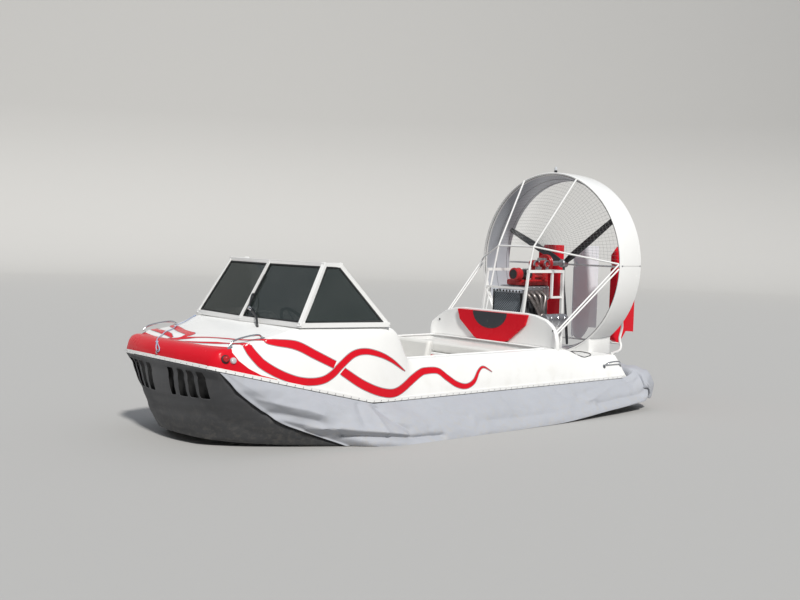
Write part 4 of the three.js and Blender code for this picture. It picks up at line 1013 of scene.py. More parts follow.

# %% [markdown]
# ## Skirt
# The skirt is one bag of coated fabric, clamped at the rim and open underneath. It bellies out where
# air fills it and creases where two panels meet. Each panel is an open grid between the rim line and
# the ground line, pushed out by the belly and in along listed creases. A simulation would have
# to inflate a bag five metres long, so the folds are listed where the photograph has them.

# %% Skirt stations and its surface
# Around the craft: rim x, y; ground x, y; lift of the lower edge; direction of the belly
SKIRT = np.array([
    (0.000, -2.436, 0.000, -2.315, 0.070, 0.00, -1.00),
    (0.330, -2.418, 0.270, -2.262, 0.060, 0.10, -0.99),
    (0.560, -2.382, 0.440, -2.110, 0.040, 0.30, -0.95),
    (0.648, -2.340, 0.650, -1.800, 0.020, 0.60, -0.80),
    (0.668, -2.285, 0.870, -1.395, 0.006, 0.90, -0.44),
    (0.758, -1.800, 1.010, -1.190, 0.000, 0.97, -0.24),
    (0.864, -1.136, 1.075, -0.960, 0.000, 1.00, 0.00),
    (0.864, -0.300, 1.080, -0.250, 0.000, 1.00, 0.00),
    (0.864, 0.600, 1.080, 0.620, 0.004, 1.00, 0.00),
    (0.864, 1.300, 1.070, 1.400, 0.060, 1.00, 0.00),
    (0.864, 1.780, 1.030, 1.900, 0.090, 0.97, 0.24),
])
BOW_END = 4
BELLY = ((0.0, 0.25, 0.5, 0.78, 0.93, 1.0), (0.0, 0.022, 0.032, 0.026, 0.012, 0.0))
CLAMP_DROP, HEM_TUCK = 0.009, 0.045


def away_from(spots, line):
    """How far each (y, z) spot lies from a line of such points."""
    best = np.full(len(spots), 9.0)
    for a, b in zip(line, line[1:]):
        a, b = np.array(a, float), np.array(b, float)
        share = np.clip(((spots - a) @ (b - a)) / max((b - a) @ (b - a), 1e-9), 0, 1)
        best = np.minimum(best, np.linalg.norm(spots - a - share[:, None] * (b - a), axis=1))
    return best


def wrinkle(spot, scale, seed):
    return noise.fractal(Vector((spot[0] * scale[0], spot[1] * scale[1], seed)), 0.8, 2.1, 3)


# The fold between the bow panel and a side panel: share of the way down, station it lies at there
FOLD = np.array([(0.0, 3.50), (0.27, 3.28), (0.48, 3.35), (0.67, 3.45), (0.79, 3.64), (1.0, 4.0)])
# At a panel's edge on the fold: how deep it is pressed in or rolled out, over what distance
BOW_EDGE, SIDE_EDGE = (-0.022, 0.034), (0.012, 0.026)


def fold_at(share):
    return float(smooth_column(np.array([share]), FOLD[:, 0], FOLD[:, 1])[0])


def edge_press(x, y, edges, depth, reach):
    """A groove or a roll along one or both ends of a row of points."""
    ahead = np.concatenate([[0], np.cumsum(np.hypot(np.diff(x), np.diff(y)))])
    press = np.zeros(len(x))
    if "first" in edges:
        press += depth * np.exp(-(ahead / reach) ** 2)
    if "last" in edges:
        press += depth * np.exp(-((ahead[-1] - ahead) / reach) ** 2)
    return press


def panel(table, ends, columns, rows, creases, seed, edges=(), edge=(0.0, 1.0)):
    """A grid of points between two stations. ends gives both for each share of the way down, and
    creases are (line of (y, z), depth, width)."""
    stations = np.arange(len(table))
    shares = np.linspace(0, 1, rows)
    grid = []
    for share, push in zip(shares, smooth_column(shares, np.array(BELLY[0]), np.array(BELLY[1]))):
        at = np.linspace(*ends(share), columns)
        rim_x, rim_y, low_x, low_y, lift, out_x, out_y = (smooth_column(at, stations, column) for column in table.T)
        top_z = np.array([rim_height(y) for y in rim_y]) - CLAMP_DROP
        x = rim_x + (low_x - rim_x) * share + out_x * push
        y = rim_y + (low_y - rim_y) * share + out_y * push
        z = top_z + (lift - top_z) * share
        spots = np.stack([y, z], axis=1)
        press = np.zeros(columns)
        for line, depth, width in creases:
            press -= depth * np.exp(-(away_from(spots, line) / width) ** 1.4)
        free = min(share / 0.12, 1.0) * min((1 - share) / 0.06 + 0.25, 1.0)
        ripple = np.array([wrinkle((a, b), (4.0, 7.0), seed) * 0.010 for a, b in spots])
        gather = 0.0016 * np.cos(2 * math.pi * y / RIVET_PITCH) * math.exp(-share / 0.07)
        press = (press + ripple) * free + gather + edge_press(x, y, edges, *edge) * min(share / 0.08, 1.0)
        grid.append(np.stack([x + out_x * press, y + out_y * press, z], axis=1))
    under = grid[-1].copy()
    for tuck, rise in ((0.4, 0.0), (1.0, 0.004)):
        move = np.stack([-out_x * HEM_TUCK * tuck, -out_y * HEM_TUCK * tuck, np.full(columns, rise)], axis=1)
        grid.append(under + move)
    return [[Vector(p) for p in row] for row in grid]


def measured(piece):
    return sum(p.area for p in piece.data.polygons)


# %% Bow panel, with its slots
MIRROR = np.array([-1, 1, -1, 1, 1, -1, 1])
BOW_TABLE = np.vstack([SKIRT[BOW_END:0:-1] * MIRROR, SKIRT[:BOW_END + 1]])
# Slots: top x from, to; bottom x from, to. The starboard ones lean towards the middle
SLOTS = [(0.125, 0.198, 0.164, 0.220), (0.248, 0.322, 0.256, 0.340),
         (0.355, 0.424, 0.356, 0.430), (0.460, 0.533, 0.441, 0.521),
         (-0.198, -0.120, -0.133, -0.045), (-0.322, -0.245, -0.235, -0.160),
         (-0.424, -0.350, -0.330, -0.262), (-0.533, -0.455, -0.440, -0.365)]
SLOT_TOP, SLOT_FOOT = 0.553, 0.362
SLOT_CORNER, FABRIC, BOW_GRID = 0.012, 0.004, (241, 44)
BOW_CREASES = [
    ([(-2.40, 0.54), (-2.30, 0.25), (-2.20, 0.07)], 0.006, 0.05),
    ([(-2.36, 0.36), (-2.20, 0.20), (-1.95, 0.10)], 0.010, 0.04),
]
bow_maker = Maker("skirt_bow_panel")


def bow_ends(share):
    return BOW_END - fold_at(share), BOW_END + fold_at(share)


def side_ends(share):
    return fold_at(share), len(SKIRT) - 1


bow_rows = panel(BOW_TABLE, bow_ends, *BOW_GRID, BOW_CREASES, 3.1, ("first", "last"), BOW_EDGE)
# The bow panel takes the fabric painted dark as shade.
bow_maker.skin(bow_rows, shaded_skirt, closed=False)
bow_skirt = bow_maker.done("craft", "skirt_bow", slot="skirt_dark", angle=60)
thick = bow_skirt.modifiers.new("fabric", "SOLIDIFY")
thick.thickness, thick.offset = FABRIC, 0.0
baked(bow_skirt)
slot_cutter = Maker("slot_cutter")
for top_a, top_b, low_a, low_b in SLOTS:
    corners = [(top_a, SLOT_TOP, 0), (top_b, SLOT_TOP, 0), (low_b, SLOT_FOOT, 0), (low_a, SLOT_FOOT, 0)]
    outline = rounded(corners, SLOT_CORNER, (0, 0.33, 0.67, 1))
    slot_cutter.skin([[(p.x, y, p.y) for p in outline] for y in (-2.6, -2.15)], rubber)
bow_skirt = cut_with(bow_skirt, slot_cutter.done("craft"))
print("bow panel area:", round(measured(bow_skirt) / 2, 3))

# A near-black sheet behind the bow panel is painted shade, seen through the slots.
slot_shade_sheet = Maker("skirt_slot_shade_sheet")
inner_rows = []
for row in panel(BOW_TABLE, lambda share: (1.55, 6.45), 60, 24, [], 1.7)[:20]:
    inner_rows.append([Vector((p.x * 0.96, p.y + 0.042, p.z)) for p in row])
slot_shade_sheet.skin(inner_rows, slot_shade, closed=False)
slot_shade_sheet = slot_shade_sheet.done("craft", slot="skirt_dark", angle=60)

# %% Side panels
# Creases on the side panels, by (y, z), with depth and width
SIDE_CREASES = [
    ([(-1.211, 0.291), (-1.180, 0.219), (-1.150, 0.128), (-1.140, 0.090)], -0.020, 0.022),
    ([(-1.150, 0.280), (-1.100, 0.220), (-1.045, 0.173), (-0.930, 0.095)], 0.030, 0.028),
    ([(-0.990, 0.262), (-0.900, 0.190), (-0.760, 0.120)], -0.008, 0.030),
    ([(-1.290, 0.300), (-1.310, 0.240), (-1.300, 0.170)], 0.022, 0.030),
    ([(-1.690, 0.150), (-1.480, 0.148), (-1.305, 0.124), (-1.125, 0.104), (-0.960, 0.074)], -0.024, 0.024),
    ([(-1.450, 0.090), (-1.300, 0.078), (-1.120, 0.066), (-0.890, 0.040), (-0.620, 0.032)], 0.040, 0.024),
    ([(-2.050, 0.370), (-1.842, 0.314), (-1.720, 0.290), (-1.600, 0.245)], -0.014, 0.022),
    ([(-1.960, 0.270), (-1.800, 0.245), (-1.640, 0.205)], 0.020, 0.028),
    ([(-1.900, 0.225), (-1.717, 0.180), (-1.590, 0.145)], -0.012, 0.020),
    ([(-1.620, 0.390), (-1.500, 0.300), (-1.420, 0.235)], 0.010, 0.026),
    ([(-0.200, 0.100), (0.250, 0.085), (0.700, 0.095)], 0.014, 0.035),
    ([(-0.620, 0.255), (-0.520, 0.180), (-0.300, 0.140)], 0.010, 0.024),
    ([(0.150, 0.270), (0.210, 0.180), (0.420, 0.130)], 0.009, 0.022),
    ([(0.820, 0.270), (0.900, 0.180), (1.150, 0.120)], 0.010, 0.025),
    ([(1.144, 0.156), (1.272, 0.188), (1.500, 0.240), (1.670, 0.264), (1.860, 0.270)], -0.018, 0.020),
    ([(1.050, 0.192), (1.334, 0.235), (1.633, 0.290), (1.860, 0.320)], 0.020, 0.024),
    ([(1.250, 0.120), (1.500, 0.135), (1.860, 0.150)], 0.022, 0.028),
]
SIDE_GRID, SIDE_SEEDS = (361, 52), (5.3, 9.7)
for (name, side), seed in zip(SIDES, SIDE_SEEDS):
    maker = Maker(f"skirt_{name}_panel")
    rows = panel(SKIRT, side_ends, *SIDE_GRID, SIDE_CREASES, seed, ("first",), SIDE_EDGE)
    maker.skin([flipped(row, side) for row in rows], light_skirt, closed=False)
    piece = maker.done("craft", f"skirt_{name}", slot="skirt_light", angle=60)
    print(name, "panel area:", round(measured(piece), 3))

# %% Stern bag
# Across the craft: half width, how far aft it reaches, height of its crown and of its lower edge
STERN_BAG = np.array([(-1.010, 2.010, 0.260, 0.110), (-0.960, 2.130, 0.330, 0.096), (-0.860, 2.190, 0.380, 0.090),
                      (-0.500, 2.215, 0.392, 0.040), (0.0, 2.220, 0.392, 0.020), (0.500, 2.215, 0.392, 0.040),
                      (0.860, 2.190, 0.380, 0.090), (0.960, 2.130, 0.330, 0.096), (1.010, 2.010, 0.260, 0.110)])
STERN_FRONT, CORNER_FRONT, BAG_POINTS = TRANSOM_FOOT + 0.018, 1.915, 60


def stern_ring(x, aft, crown, low):
    """The bag's outline at one place across the craft, pleated most near its ends."""
    start = STERN_FRONT if abs(x) < 0.9 else CORNER_FRONT
    deep, tall = aft - start, crown - low
    outline = [(start, crown - tall * 0.33), (start + deep * 0.02, crown - tall * 0.10),
               (start + deep * 0.15, crown),
               (aft - deep * 0.36, crown - tall * 0.02), (aft - deep * 0.06, crown - tall * 0.33),
               (aft, low + tall * 0.5), (aft - deep * 0.09, low + tall * 0.10), (aft - deep * 0.27, low),
               (aft - deep * 0.47, low + 0.012)]
    curve = curve_through([Vector((x, y, z)) for y, z in outline], BAG_POINTS)
    ring = []
    for i, p in enumerate(curve):
        pleat = abs(math.sin(abs(x) * 19 + i * 0.085 + 0.6 * math.sin(i * 0.11)))
        arch = math.sin(math.pi * i / (BAG_POINTS - 1))
        pucker = (0.006 + 0.018 * min(max(abs(x) - 0.45, 0) / 0.4, 1.0)) * (1 - pleat) * arch
        dent = wrinkle((p.x * 2 + i * 0.02, p.y), (3.0, 5.0), 2.2) * 0.010 * arch
        toward = Vector((0, aft - 0.10, (crown + low) / 2)) - Vector((0, p.y, p.z))
        ring.append(p + toward.normalized() * abs(pucker + dent) if toward.length > 0.02 else p)
    return ring


bag_maker = Maker("skirt_stern_bag")
across = np.concatenate([np.linspace(-1.010, -0.9, 10), np.linspace(-0.88, 0.88, 120), np.linspace(0.9, 1.010, 10)])
columns = [smooth_column(across, STERN_BAG[:, 0], STERN_BAG[:, k]) for k in (1, 2, 3)]
bag_rings = [stern_ring(x, *values) for x, *values in zip(across, *columns)]
for end, ring in ((0, bag_rings[0]), (-1, bag_rings[-1])):
    centre = sum(ring, Vector()) / len(ring)
    closing = []
    for s in (0.12, 0.25, 0.4, 0.55, 0.7, 0.85, 0.99):
        gathers = [0.018 * abs(math.sin(i * 0.24)) * 4 * s * (1 - s) + 0.010 * s for i in range(len(ring))]
        closing.append([p.lerp(centre, s) + Vector((math.copysign(g, centre.x), 0, 0))
                        for p, g in zip(ring, gathers)])
    bag_rings = closing[::-1] + bag_rings if end == 0 else bag_rings + closing
bag_maker.skin(bag_rings, light_skirt, closed=False)
# The corner gusset, from the side panel's last column to the bag: x, y, z down the bag's end
GUSSET_EDGE = [(0.872, 1.905, 0.366), (0.938, 1.968, 0.322), (0.980, 1.992, 0.255), (0.994, 1.992, 0.190),
               (0.990, 1.980, 0.135), (0.968, 1.955, 0.104)]
GUSSET_ROWS, GUSSET_POINTS = 40, 48
side_rows = panel(SKIRT, side_ends, 251, GUSSET_ROWS, SIDE_CREASES, 5.3)
near_edge = spaced([row[-1] for row in side_rows[:GUSSET_ROWS]], GUSSET_POINTS)
far_edge = curve_through(GUSSET_EDGE, GUSSET_POINTS)
for side in (1, -1):
    strips = []
    for share in np.linspace(0, 1, 13):
        strip = []
        for down, (a, b) in enumerate(zip(near_edge, far_edge)):
            swell = math.sin(math.pi * share) * (0.016 + 0.016 * abs(math.sin(down * 0.19 + share * 1.6)))
            strip.append(a.lerp(b, share) + Vector((swell, swell * 0.4, 0)))
        strips.append(strip)
    bag_maker.skin([flipped(row, side) for row in strips], light_skirt, closed=False)
stern_bag = bag_maker.done("craft", "skirt_stern", slot="skirt_light", angle=60)
print("stern bag area:", round(measured(stern_bag), 3))

# %% [markdown]
# ## Pieces that keep the solid's form
# Many pieces are square tube, plate or casting, and the solid already has their form. A copy with its
# edges eased catches the light as the real one does, so the copy stands for the node.

# %% Eased copies
EASED_ANGLE = 32


def eased(node, look, bevel):
    """A copy of a CAD node with softened edges and a finish."""
    solid = frame["nodes"][node]
    mesh = solid.data.copy()
    work = bmesh.new()
    work.from_mesh(mesh)
    bmesh.ops.remove_doubles(work, verts=work.verts, dist=2e-5)
    bmesh.ops.dissolve_limit(work, angle_limit=math.radians(1), verts=work.verts, edges=work.edges)
    work.to_mesh(mesh)
    work.free()
    if "custom_normal" in mesh.attributes:
        mesh.attributes.remove(mesh.attributes["custom_normal"])
    mesh.materials.clear()
    mesh.materials.append(look.material)
    mesh.polygons.foreach_set("material_index", [0] * len(mesh.polygons))
    smoothed(mesh, EASED_ANGLE)
    made = linked(f"{node}_eased", mesh)
    softened = made.modifiers.new("edges", "BEVEL")
    softened.width, softened.segments, softened.limit_method = bevel, 3, "ANGLE"
    softened.angle_limit, softened.harden_normals = math.radians(EASED_ANGLE), False
    return fitted(made, solid["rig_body"], [node])


eased("windshield_frame", white_tube, 0.005)
eased("dash_panel", white_gel, 0.015)
for node, bevel in (("front_seat_base", 0.012), ("rear_seat_base", 0.012), ("rear_seat_shell", 0.010)):
    eased(node, white_gel, bevel)
eased("engine_frame", white_tube, 0.004)
for name in ("windshield_glass_port", "windshield_glass_starboard", "side_glass_port", "side_glass_starboard"):
    set_finish(name, glass_dark_reflection)
for name in ("hull_pan", "hull_runner_port", "hull_runner_centre", "hull_runner_starboard"):
    set_finish(name, white_gel)

# %% [markdown]
# ## Windshield
# Square tube frames four flat panes. Each pane sits in a black rubber gasket, which shows as a thin
# dark line inside the white tube.

# %% Gaskets
SHIELD = {
    "sill_centre": (0.000, -1.738, 0.866), "sill_front": (0.700, -1.688, 0.866), "sill_aft": (0.868, -1.030, 0.866),
    "head_centre": (0.000, -1.484, 1.291), "head_front": (0.626, -1.436, 1.291), "head_aft": (0.626, -1.296, 1.291),
}
FRONT_PANE = ("sill_centre", "sill_front", "head_front", "head_centre")
SIDE_PANE = ("sill_front", "sill_aft", "head_aft", "head_front")


def inset(corners, gap):
    """The corners of a flat outline, moved inwards by a gap."""
    normal = (corners[1] - corners[0]).cross(corners[2] - corners[0]).normalized()
    count = len(corners)
    moved = []
    for i, here in enumerate(corners):
        back = (here - corners[i - 1]).normalized()
        front = (corners[(i + 1) % count] - here).normalized()
        in_a, in_b = normal.cross(back), normal.cross(front)
        moved.append(here + (in_a + in_b) * (gap / (1 + in_a.dot(in_b))))
    return moved, normal


for name, side in SIDES:
    gaskets = Maker(f"gaskets_{name}")
    for corners in (FRONT_PANE, SIDE_PANE):
        line, normal = inset([Vector(SHIELD[c]) for c in corners], 0.0225)
        outward = normal if normal.y < 0 or normal.x > 0.3 else -normal
        line = flipped([p + outward * 0.006 for p in line], side)
        up = flipped([outward], side)[0]
        gaskets.sweep(line, rounded_box(0.013, 0.012, 0.004), rubber, up, joined=True)
    gaskets.done("craft", slot="black")

# %% [markdown]
# ## Coaming lip
# The edge of the cockpit well is rolled over, so that nobody leans on a sharp edge. A tube follows the
# well's outline at the height of the deck.

# %% Lip round the well
def deck_height(x, y):
    spot, _, _, _ = whole_deck.ray_cast(Vector((x, y, 1.6)), Vector((0, 0, -1)))
    return spot.z


LIP_TUBE, LIP_POINTS = 0.009, 260
lip_plan = spaced([(p.x, p.y, 0) for p in well_outline + well_outline[:1]], LIP_POINTS)[:-1]
lip_line = [Vector((p.x, p.y, deck_height(p.x, p.y) - 0.002)) for p in lip_plan]
lip = Maker("coaming_lip")
lip.tube(lip_line, LIP_TUBE, white_gel, 10, joined=True)
lip.done("craft", slot="white_gelcoat", angle=60)

# %% [markdown]
# ## Wiper, rails and lights
# Small fittings are black or polished, and their highlights tell the eye how big the craft is.

# %% Wiper
SILL, SILL_END, HEAD = (Vector(SHIELD[name]) for name in ("sill_centre", "sill_front", "head_centre"))
PANE_ACROSS, PANE_UP = (SILL_END - SILL).normalized(), (HEAD - SILL).normalized()
PANE_OUT = PANE_ACROSS.cross(PANE_UP).normalized()
# On the pane: across and up from its corner, for the pivot and for the middle of the blade
PIVOT, BLADE_SPOT, BLADE_HALF = (0.100, 0.072), (0.034, 0.196), Vector((0.009, 0.009, 0.012))


def on_pane(across, up, out):
    return SILL + PANE_ACROSS * across + PANE_UP * up + PANE_OUT * out


def along_pane(spots):
    return [on_pane(*spot) for spot in spots]


bracket = Maker("wiper_motor_arm")
route = [(0.330, -1.800, 0.790), (0.322, -1.806, 0.850), *along_pane([(0.220, 0.010, 0.040), (*PIVOT, 0.026)])]
bracket.sweep(curve_through(route, 40), rounded_box(0.022, 0.014, 0.004), black_satin)
profile = [(0.012, 0), (0.014, 0.004), (0.014, 0.030), (0.011, 0.0355)]
bracket.turned(profile, on_pane(*PIVOT, 0.004), PANE_OUT, polished, 20)
bracket.done("craft", "wiper_bracket", slot="black")
arm = Maker("wiper_blade_arm")
profile = [(0.009, 0), (0.0145, 0.001), (0.0145, 0.009), (0.009, 0.0145), (0.002, 0.0155)]
arm.turned(profile, on_pane(*PIVOT, 0.0403), PANE_OUT, polished, 20)
arm_line = along_pane([(*PIVOT, 0.048), (0.080, 0.110, 0.048), (0.042, 0.185, 0.040), (0.034, 0.205, 0.020)])
arm.sweep(curve_through(arm_line, 24), rounded_box(0.011, 0.006, 0.002), black_satin)
arm.sweep(along_pane([(0.034, 0.038, 0.016), (0.034, 0.375, 0.016)]), rounded_box(0.009, 0.010, 0.003), black_satin,
          PANE_OUT)
arm.sweep(along_pane([(0.034, 0.045, 0.0085), (0.034, 0.368, 0.0085)]), rounded_box(0.004, 0.008, 0.001), rubber,
          PANE_OUT)
arm.block(on_pane(*BLADE_SPOT, 0.020) - BLADE_HALF, on_pane(*BLADE_SPOT, 0.020) + BLADE_HALF, black_satin)
arm.done("wiper", "wiper_arm", slot="black")

# %% Grab rails, lights and bow eye
# Each rail: name, fore end, after end, how far it stands off the deck
RAILS = [("bow", (0.620, -2.222, 0.740), (0.604, -1.945, 0.782), (0.004, 0.000, 0.032)),
         ("stern", (0.826, 1.546, 0.402), (0.826, 1.776, 0.402), (0.040, 0.000, 0.044))]
COVER_SPOT, CLEAR_SPOT = (0.655, -2.275, 0.650), (0.690, -2.222, 0.644)


def seat_on_deck(spot, side):
    """The nearest place on the deck, and the way out of it, on either side."""
    near, normal, _, _ = whole_deck.find_nearest(Vector(spot))
    return flipped([near, normal], side)


for name, side in SIDES:
    for where, fore, aft, off in RAILS:
        fore, aft, off = Vector(fore), Vector(aft), Vector(off)
        points = [fore, fore.lerp(aft, 0.15) + off * 0.8, (fore + aft) / 2 + off, fore.lerp(aft, 0.85) + off * 0.8, aft]
        rail = Maker(f"grab_rail_{where}_{name}_dressed")
        rail.tube(flipped(curve_through(points, 48), side), 0.007, polished)
        for foot in (fore, aft):
            profile = [(0.019, -0.002), (0.019, 0.002), (0.015, 0.004), (0.002, 0.0045)]
            rail.turned(profile, *seat_on_deck(foot, side), polished, 20)
        rail.done("craft", f"grab_rail_{where}_{name}", slot="steel")
    light = Maker(f"nav_light_{name}_dressed")
    spot, out = seat_on_deck(COVER_SPOT, side)
    light.turned([(0.030, -0.004), (0.030, 0.004), (0.027, 0.008), (0.020, 0.009)], spot, out, black_satin, 28)
    profile = [(0.022, 0.006), (0.022, 0.016), (0.019, 0.024), (0.011, 0.030), (0.001, 0.032)]
    light.turned(profile, spot, out, red_lens if side > 0 else green_lens, 28)
    profile = [(0.023, -0.004), (0.023, 0.004), (0.020, 0.012), (0.011, 0.018), (0.001, 0.019)]
    light.turned(profile, *seat_on_deck(CLEAR_SPOT, side), clear_lens, 28)
    light.done("craft", f"nav_light_{name}", slot="lamp" if side > 0 else "green")

# A loop of thin bent rod lies on the after deck: x, y round it
HOOP = [(0.44, 1.55), (0.50, 1.61), (0.64, 1.57), (0.75, 1.46), (0.80, 1.33), (0.78, 1.25), (0.66, 1.36), (0.52, 1.49),
        (0.44, 1.55)]
HOOP_ROD, HOOP_LIFT = 0.0038, 0.0035
hoop_line = [Vector((x, y, deck_height(x, y) + HOOP_LIFT)) for x, y, _ in curve_through([(*p, 0.0) for p in HOOP], 60)]
hoop = Maker("deck_hoop")
hoop.tube(hoop_line[:-1], HOOP_ROD, black_satin, 8, joined=True)
hoop.done("craft", slot="steel")

EYE = [(0, -2.412, 0.632), (0, -2.434, 0.634), (0, -2.440, 0.645), (0, -2.434, 0.656), (0, -2.410, 0.661)]
eye = Maker("bow_eye_dressed")
eye.tube(curve_through(EYE, 30), 0.005, polished)
eye.done("craft", "bow_eye", slot="steel")

# %% [markdown]
# ## Cockpit
# Under the windshield there is a plain dash with a steering wheel, and behind it two bench seats with
# vinyl pads. A pad is a rounded block whose faces swell and whose sides pull in between the corners.

# %% Steering wheel
WHEEL, WHEEL_AXIS, WHEEL_RADIUS = Vector((0.090, -1.290, 0.800)), Vector((0, 0.8253, 0.5646)), 0.165
SPOKES, SPOKE_LEAN = (90, 210, 330), Quaternion(PORT, 0.6)
wheel = Maker("steering_wheel_dressed")
rim_side = WHEEL_AXIS.orthogonal().normalized()
rim_over = WHEEL_AXIS.cross(rim_side)
ring = [WHEEL + (rim_side * math.cos(a) + rim_over * math.sin(a)) * WHEEL_RADIUS
        for a in np.linspace(0, 2 * math.pi, 65)[:-1]]
wheel.tube(ring, 0.013, black_satin, 14, joined=True)
for degrees in SPOKES:
    angle = math.radians(degrees)
    out = SPOKE_LEAN @ Vector((math.cos(angle), 0, math.sin(angle)))
    wheel.sweep([WHEEL + out * 0.02, WHEEL + out * 0.160], rounded_box(0.024, 0.008, 0.003), polished, WHEEL_AXIS)
profile = [(0.030, -0.060), (0.032, -0.050), (0.032, 0.004), (0.027, 0.014), (0.001, 0.018)]
wheel.turned(profile, WHEEL, WHEEL_AXIS, black_satin, 32)
wheel.done("steering", "steering_wheel", slot="black")


# %% Padded seats
PAD_CELL, PAD_FILL = 0.018, 0.8


def pad(node, look, swell, pull, radius=0.030, panels=1):
    """A padded block inside a node's box, with sewn channels."""
    low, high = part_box(node)
    middle, half = (low + high) / 2, (high - low) / 2
    half -= Vector((swell * 0.4,) * 3)
    radius = min(radius, min(half) * 0.9)
    cells = [max(6, int(2 * h / PAD_CELL)) for h in half]
    work = bmesh.new()
    spots = {}

    def corner(a, b, c):
        key = (round(a, 4), round(b, 4), round(c, 4))
        if key not in spots:
            p = Vector((a * half.x, b * half.y, c * half.z))
            core = Vector((max(-half[k] + radius, min(half[k] - radius, p[k])) for k in range(3)))
            away = p - core
            q = core + away.normalized() * radius if away.length > 1e-6 else p
            lobe = abs(math.sin(math.pi * panels * (a + 1) / 2)) ** 0.5
            q.z += math.copysign(swell * (1 - a ** 4) * (1 - b ** 4) * (0.4 + 0.6 * lobe), c) if abs(c) > 0.999 else 0
            q.y -= math.copysign(pull * (1 - a * a), b) * (abs(b) > 0.999) * (1 - c * c)
            q.x -= math.copysign(pull * (1 - b * b), a) * (abs(a) > 0.999) * (1 - c * c)
            spots[key] = work.verts.new(q + middle)
        return spots[key]

    for k in range(3):
        u, v = (i for i in range(3) if i != k)
        for end in (-1, 1):
            for i in range(cells[u]):
                for j in range(cells[v]):
                    quad = []
                    for di, dj in ((0, 0), (1, 0), (1, 1), (0, 1)):
                        at = [0.0, 0.0, 0.0]
                        at[k], at[u], at[v] = end, 2 * (i + di) / cells[u] - 1, 2 * (j + dj) / cells[v] - 1
                        quad.append(corner(*at))
                    work.faces.new(quad if end > 0 else quad[::-1])
    bmesh.ops.recalc_face_normals(work, faces=work.faces)
    mesh = bpy.data.meshes.new(f"{node}_pad")
    work.to_mesh(mesh)
    work.free()
    mesh.materials.append(look.material)
    smoothed(mesh)
    made = fitted(linked(f"{node}_pad", mesh), "craft", [node])


pad("front_seat_cushion", white_vinyl, 0.010, 0.008, panels=2)
pad("rear_seat_cushion", white_vinyl, 0.012, 0.008, panels=2)
eased("front_seat_back", white_vinyl, 0.022)
eased("rear_backrest_pad", red_gel, 0.004)

# %% Seat shell and its painted shapes
PAD_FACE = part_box("rear_backrest_pad")[0].y
badge = Maker("shell_shapes")


def flat_shape(outline, y, look):
    """A thin painted shape on the shell's face, from x and z round it."""
    badge.skin([[Vector((x, y + depth, z)) for x, z in outline] for depth in (0, -0.0015)], look)


# The dark half disc hangs from the top of the red shape
DISC = {"x": -0.018, "z": 0.850, "across": 0.216, "down": 0.150}
half_disc = [(DISC["x"] + DISC["across"] * math.cos(a), DISC["z"] + DISC["down"] * math.sin(a))
             for a in np.linspace(math.pi, 2 * math.pi, 41)]
flat_shape(half_disc, PAD_FACE - 0.0005, charcoal)
for x, y, z in ((-0.698, 0.951, 0.732), (0.739, 0.952, 0.737)):
    badge.dots([((x, y, z), (0, -1, 0))], 0.010, black_satin, 0.4, 12)
flat_shape([(-0.300, 0.455), (0.300, 0.455), (0.270, 0.425), (-0.270, 0.425)], 0.4695, red_gel)
badge.done("craft", slot="red_gelcoat")

# %% [markdown]
# ## Engine bay
# The engine stands in a square-tube frame ahead of the duct. Castings, pipes and belts crowd it, so
# each is modelled as the part it is: turned, swept or bolted together.

# %% Exhaust
MUFFLER, PIPES, PIPE = Vector((0.342, 1.420, 0.785)), (1.235, 1.305, 1.375, 1.445), 0.019
COLLECTOR = [(0.200, 1.400, 0.800), (0.205, 1.400, 0.785), (0.245, 1.400, 0.790), (0.290, 1.400, 0.790)]
exhaust = Maker("exhaust_pipes")
for y in PIPES:
    line = [(0.150, y, 1.030), (0.196, y + 0.004, 0.990), (0.206, (y + 1.4) / 2, 0.900),
            (0.200, 1.4 + (y - 1.34) * 0.1, 0.812)]
    exhaust.tube(curve_through(line, 26), PIPE, exhaust_metal, 14)
    exhaust.block((0.1505, y - 0.030, 1.006), (0.158, y + 0.030, 1.054), exhaust_metal, 0.004)
profile = [(0.036, 0), (0.036, 0.050), (0.030, 0.062), (0.024, 0.068)]
exhaust.turned(profile, (0.200, 1.400, 0.772), UP, exhaust_metal, 24)
exhaust.tube(curve_through(COLLECTOR, 16), 0.024, exhaust_metal)
exhaust.done("craft", "exhaust_headers", slot="metal")
can = Maker("muffler_can")
half_can = [(0.060, 0.128), (0.058, 0.136), (0.050, 0.143), (0.020, 0.145)]
can.turned([(r, -along) for r, along in reversed(half_can)] + half_can, MUFFLER, AFT, dull_metal, 40)
for along in (-0.09, 0.0, 0.09):
    profile = [(0.0605, -0.008), (0.062, -0.006), (0.062, 0.006), (0.0605, 0.008)]
    can.turned(profile, MUFFLER + Vector((0, along, 0)), AFT, polished, 40)
can.done("craft", "muffler", slot="metal")

# %% Engine block and cover
block = Maker("engine_block_dressed")
# Castings from the sump to the head: low corner, high corner, finish, corner radius
for low, high, look, corner in (((-0.150, 1.200, 0.505), (0.150, 1.555, 0.720), cast_block, 0.02),
                                ((-0.130, 1.195, 0.700), (0.135, 1.560, 0.960), cast_block, 0.015),
                                ((-0.145, 1.192, 0.955), (0.150, 1.560, 1.093), dull_metal, 0.014)):
    block.block(low, high, look, corner)
for y in np.arange(1.235, 1.53, 0.048):
    block.block((0.130, y - 0.006, 0.730), (0.146, y + 0.006, 0.945), cast_block, 0.003)
bolts = [((0.151, y, z), PORT) for y in (1.21, 1.27, 1.34, 1.41, 1.48, 1.54) for z in (0.975, 1.075)]
block.dots(bolts, 0.009, dull_metal, 0.8, 6)
profile = [(0.045, 0), (0.055, 0.004), (0.055, 0.10), (0.045, 0.112), (0.012, 0.114), (0.012, 0.13)]
block.turned(profile, (0.105, 1.40, 0.62), AFT, dull_metal, 28)
block.done("craft", "engine_block", slot="iron")
cover = Maker("engine_cover_dressed")
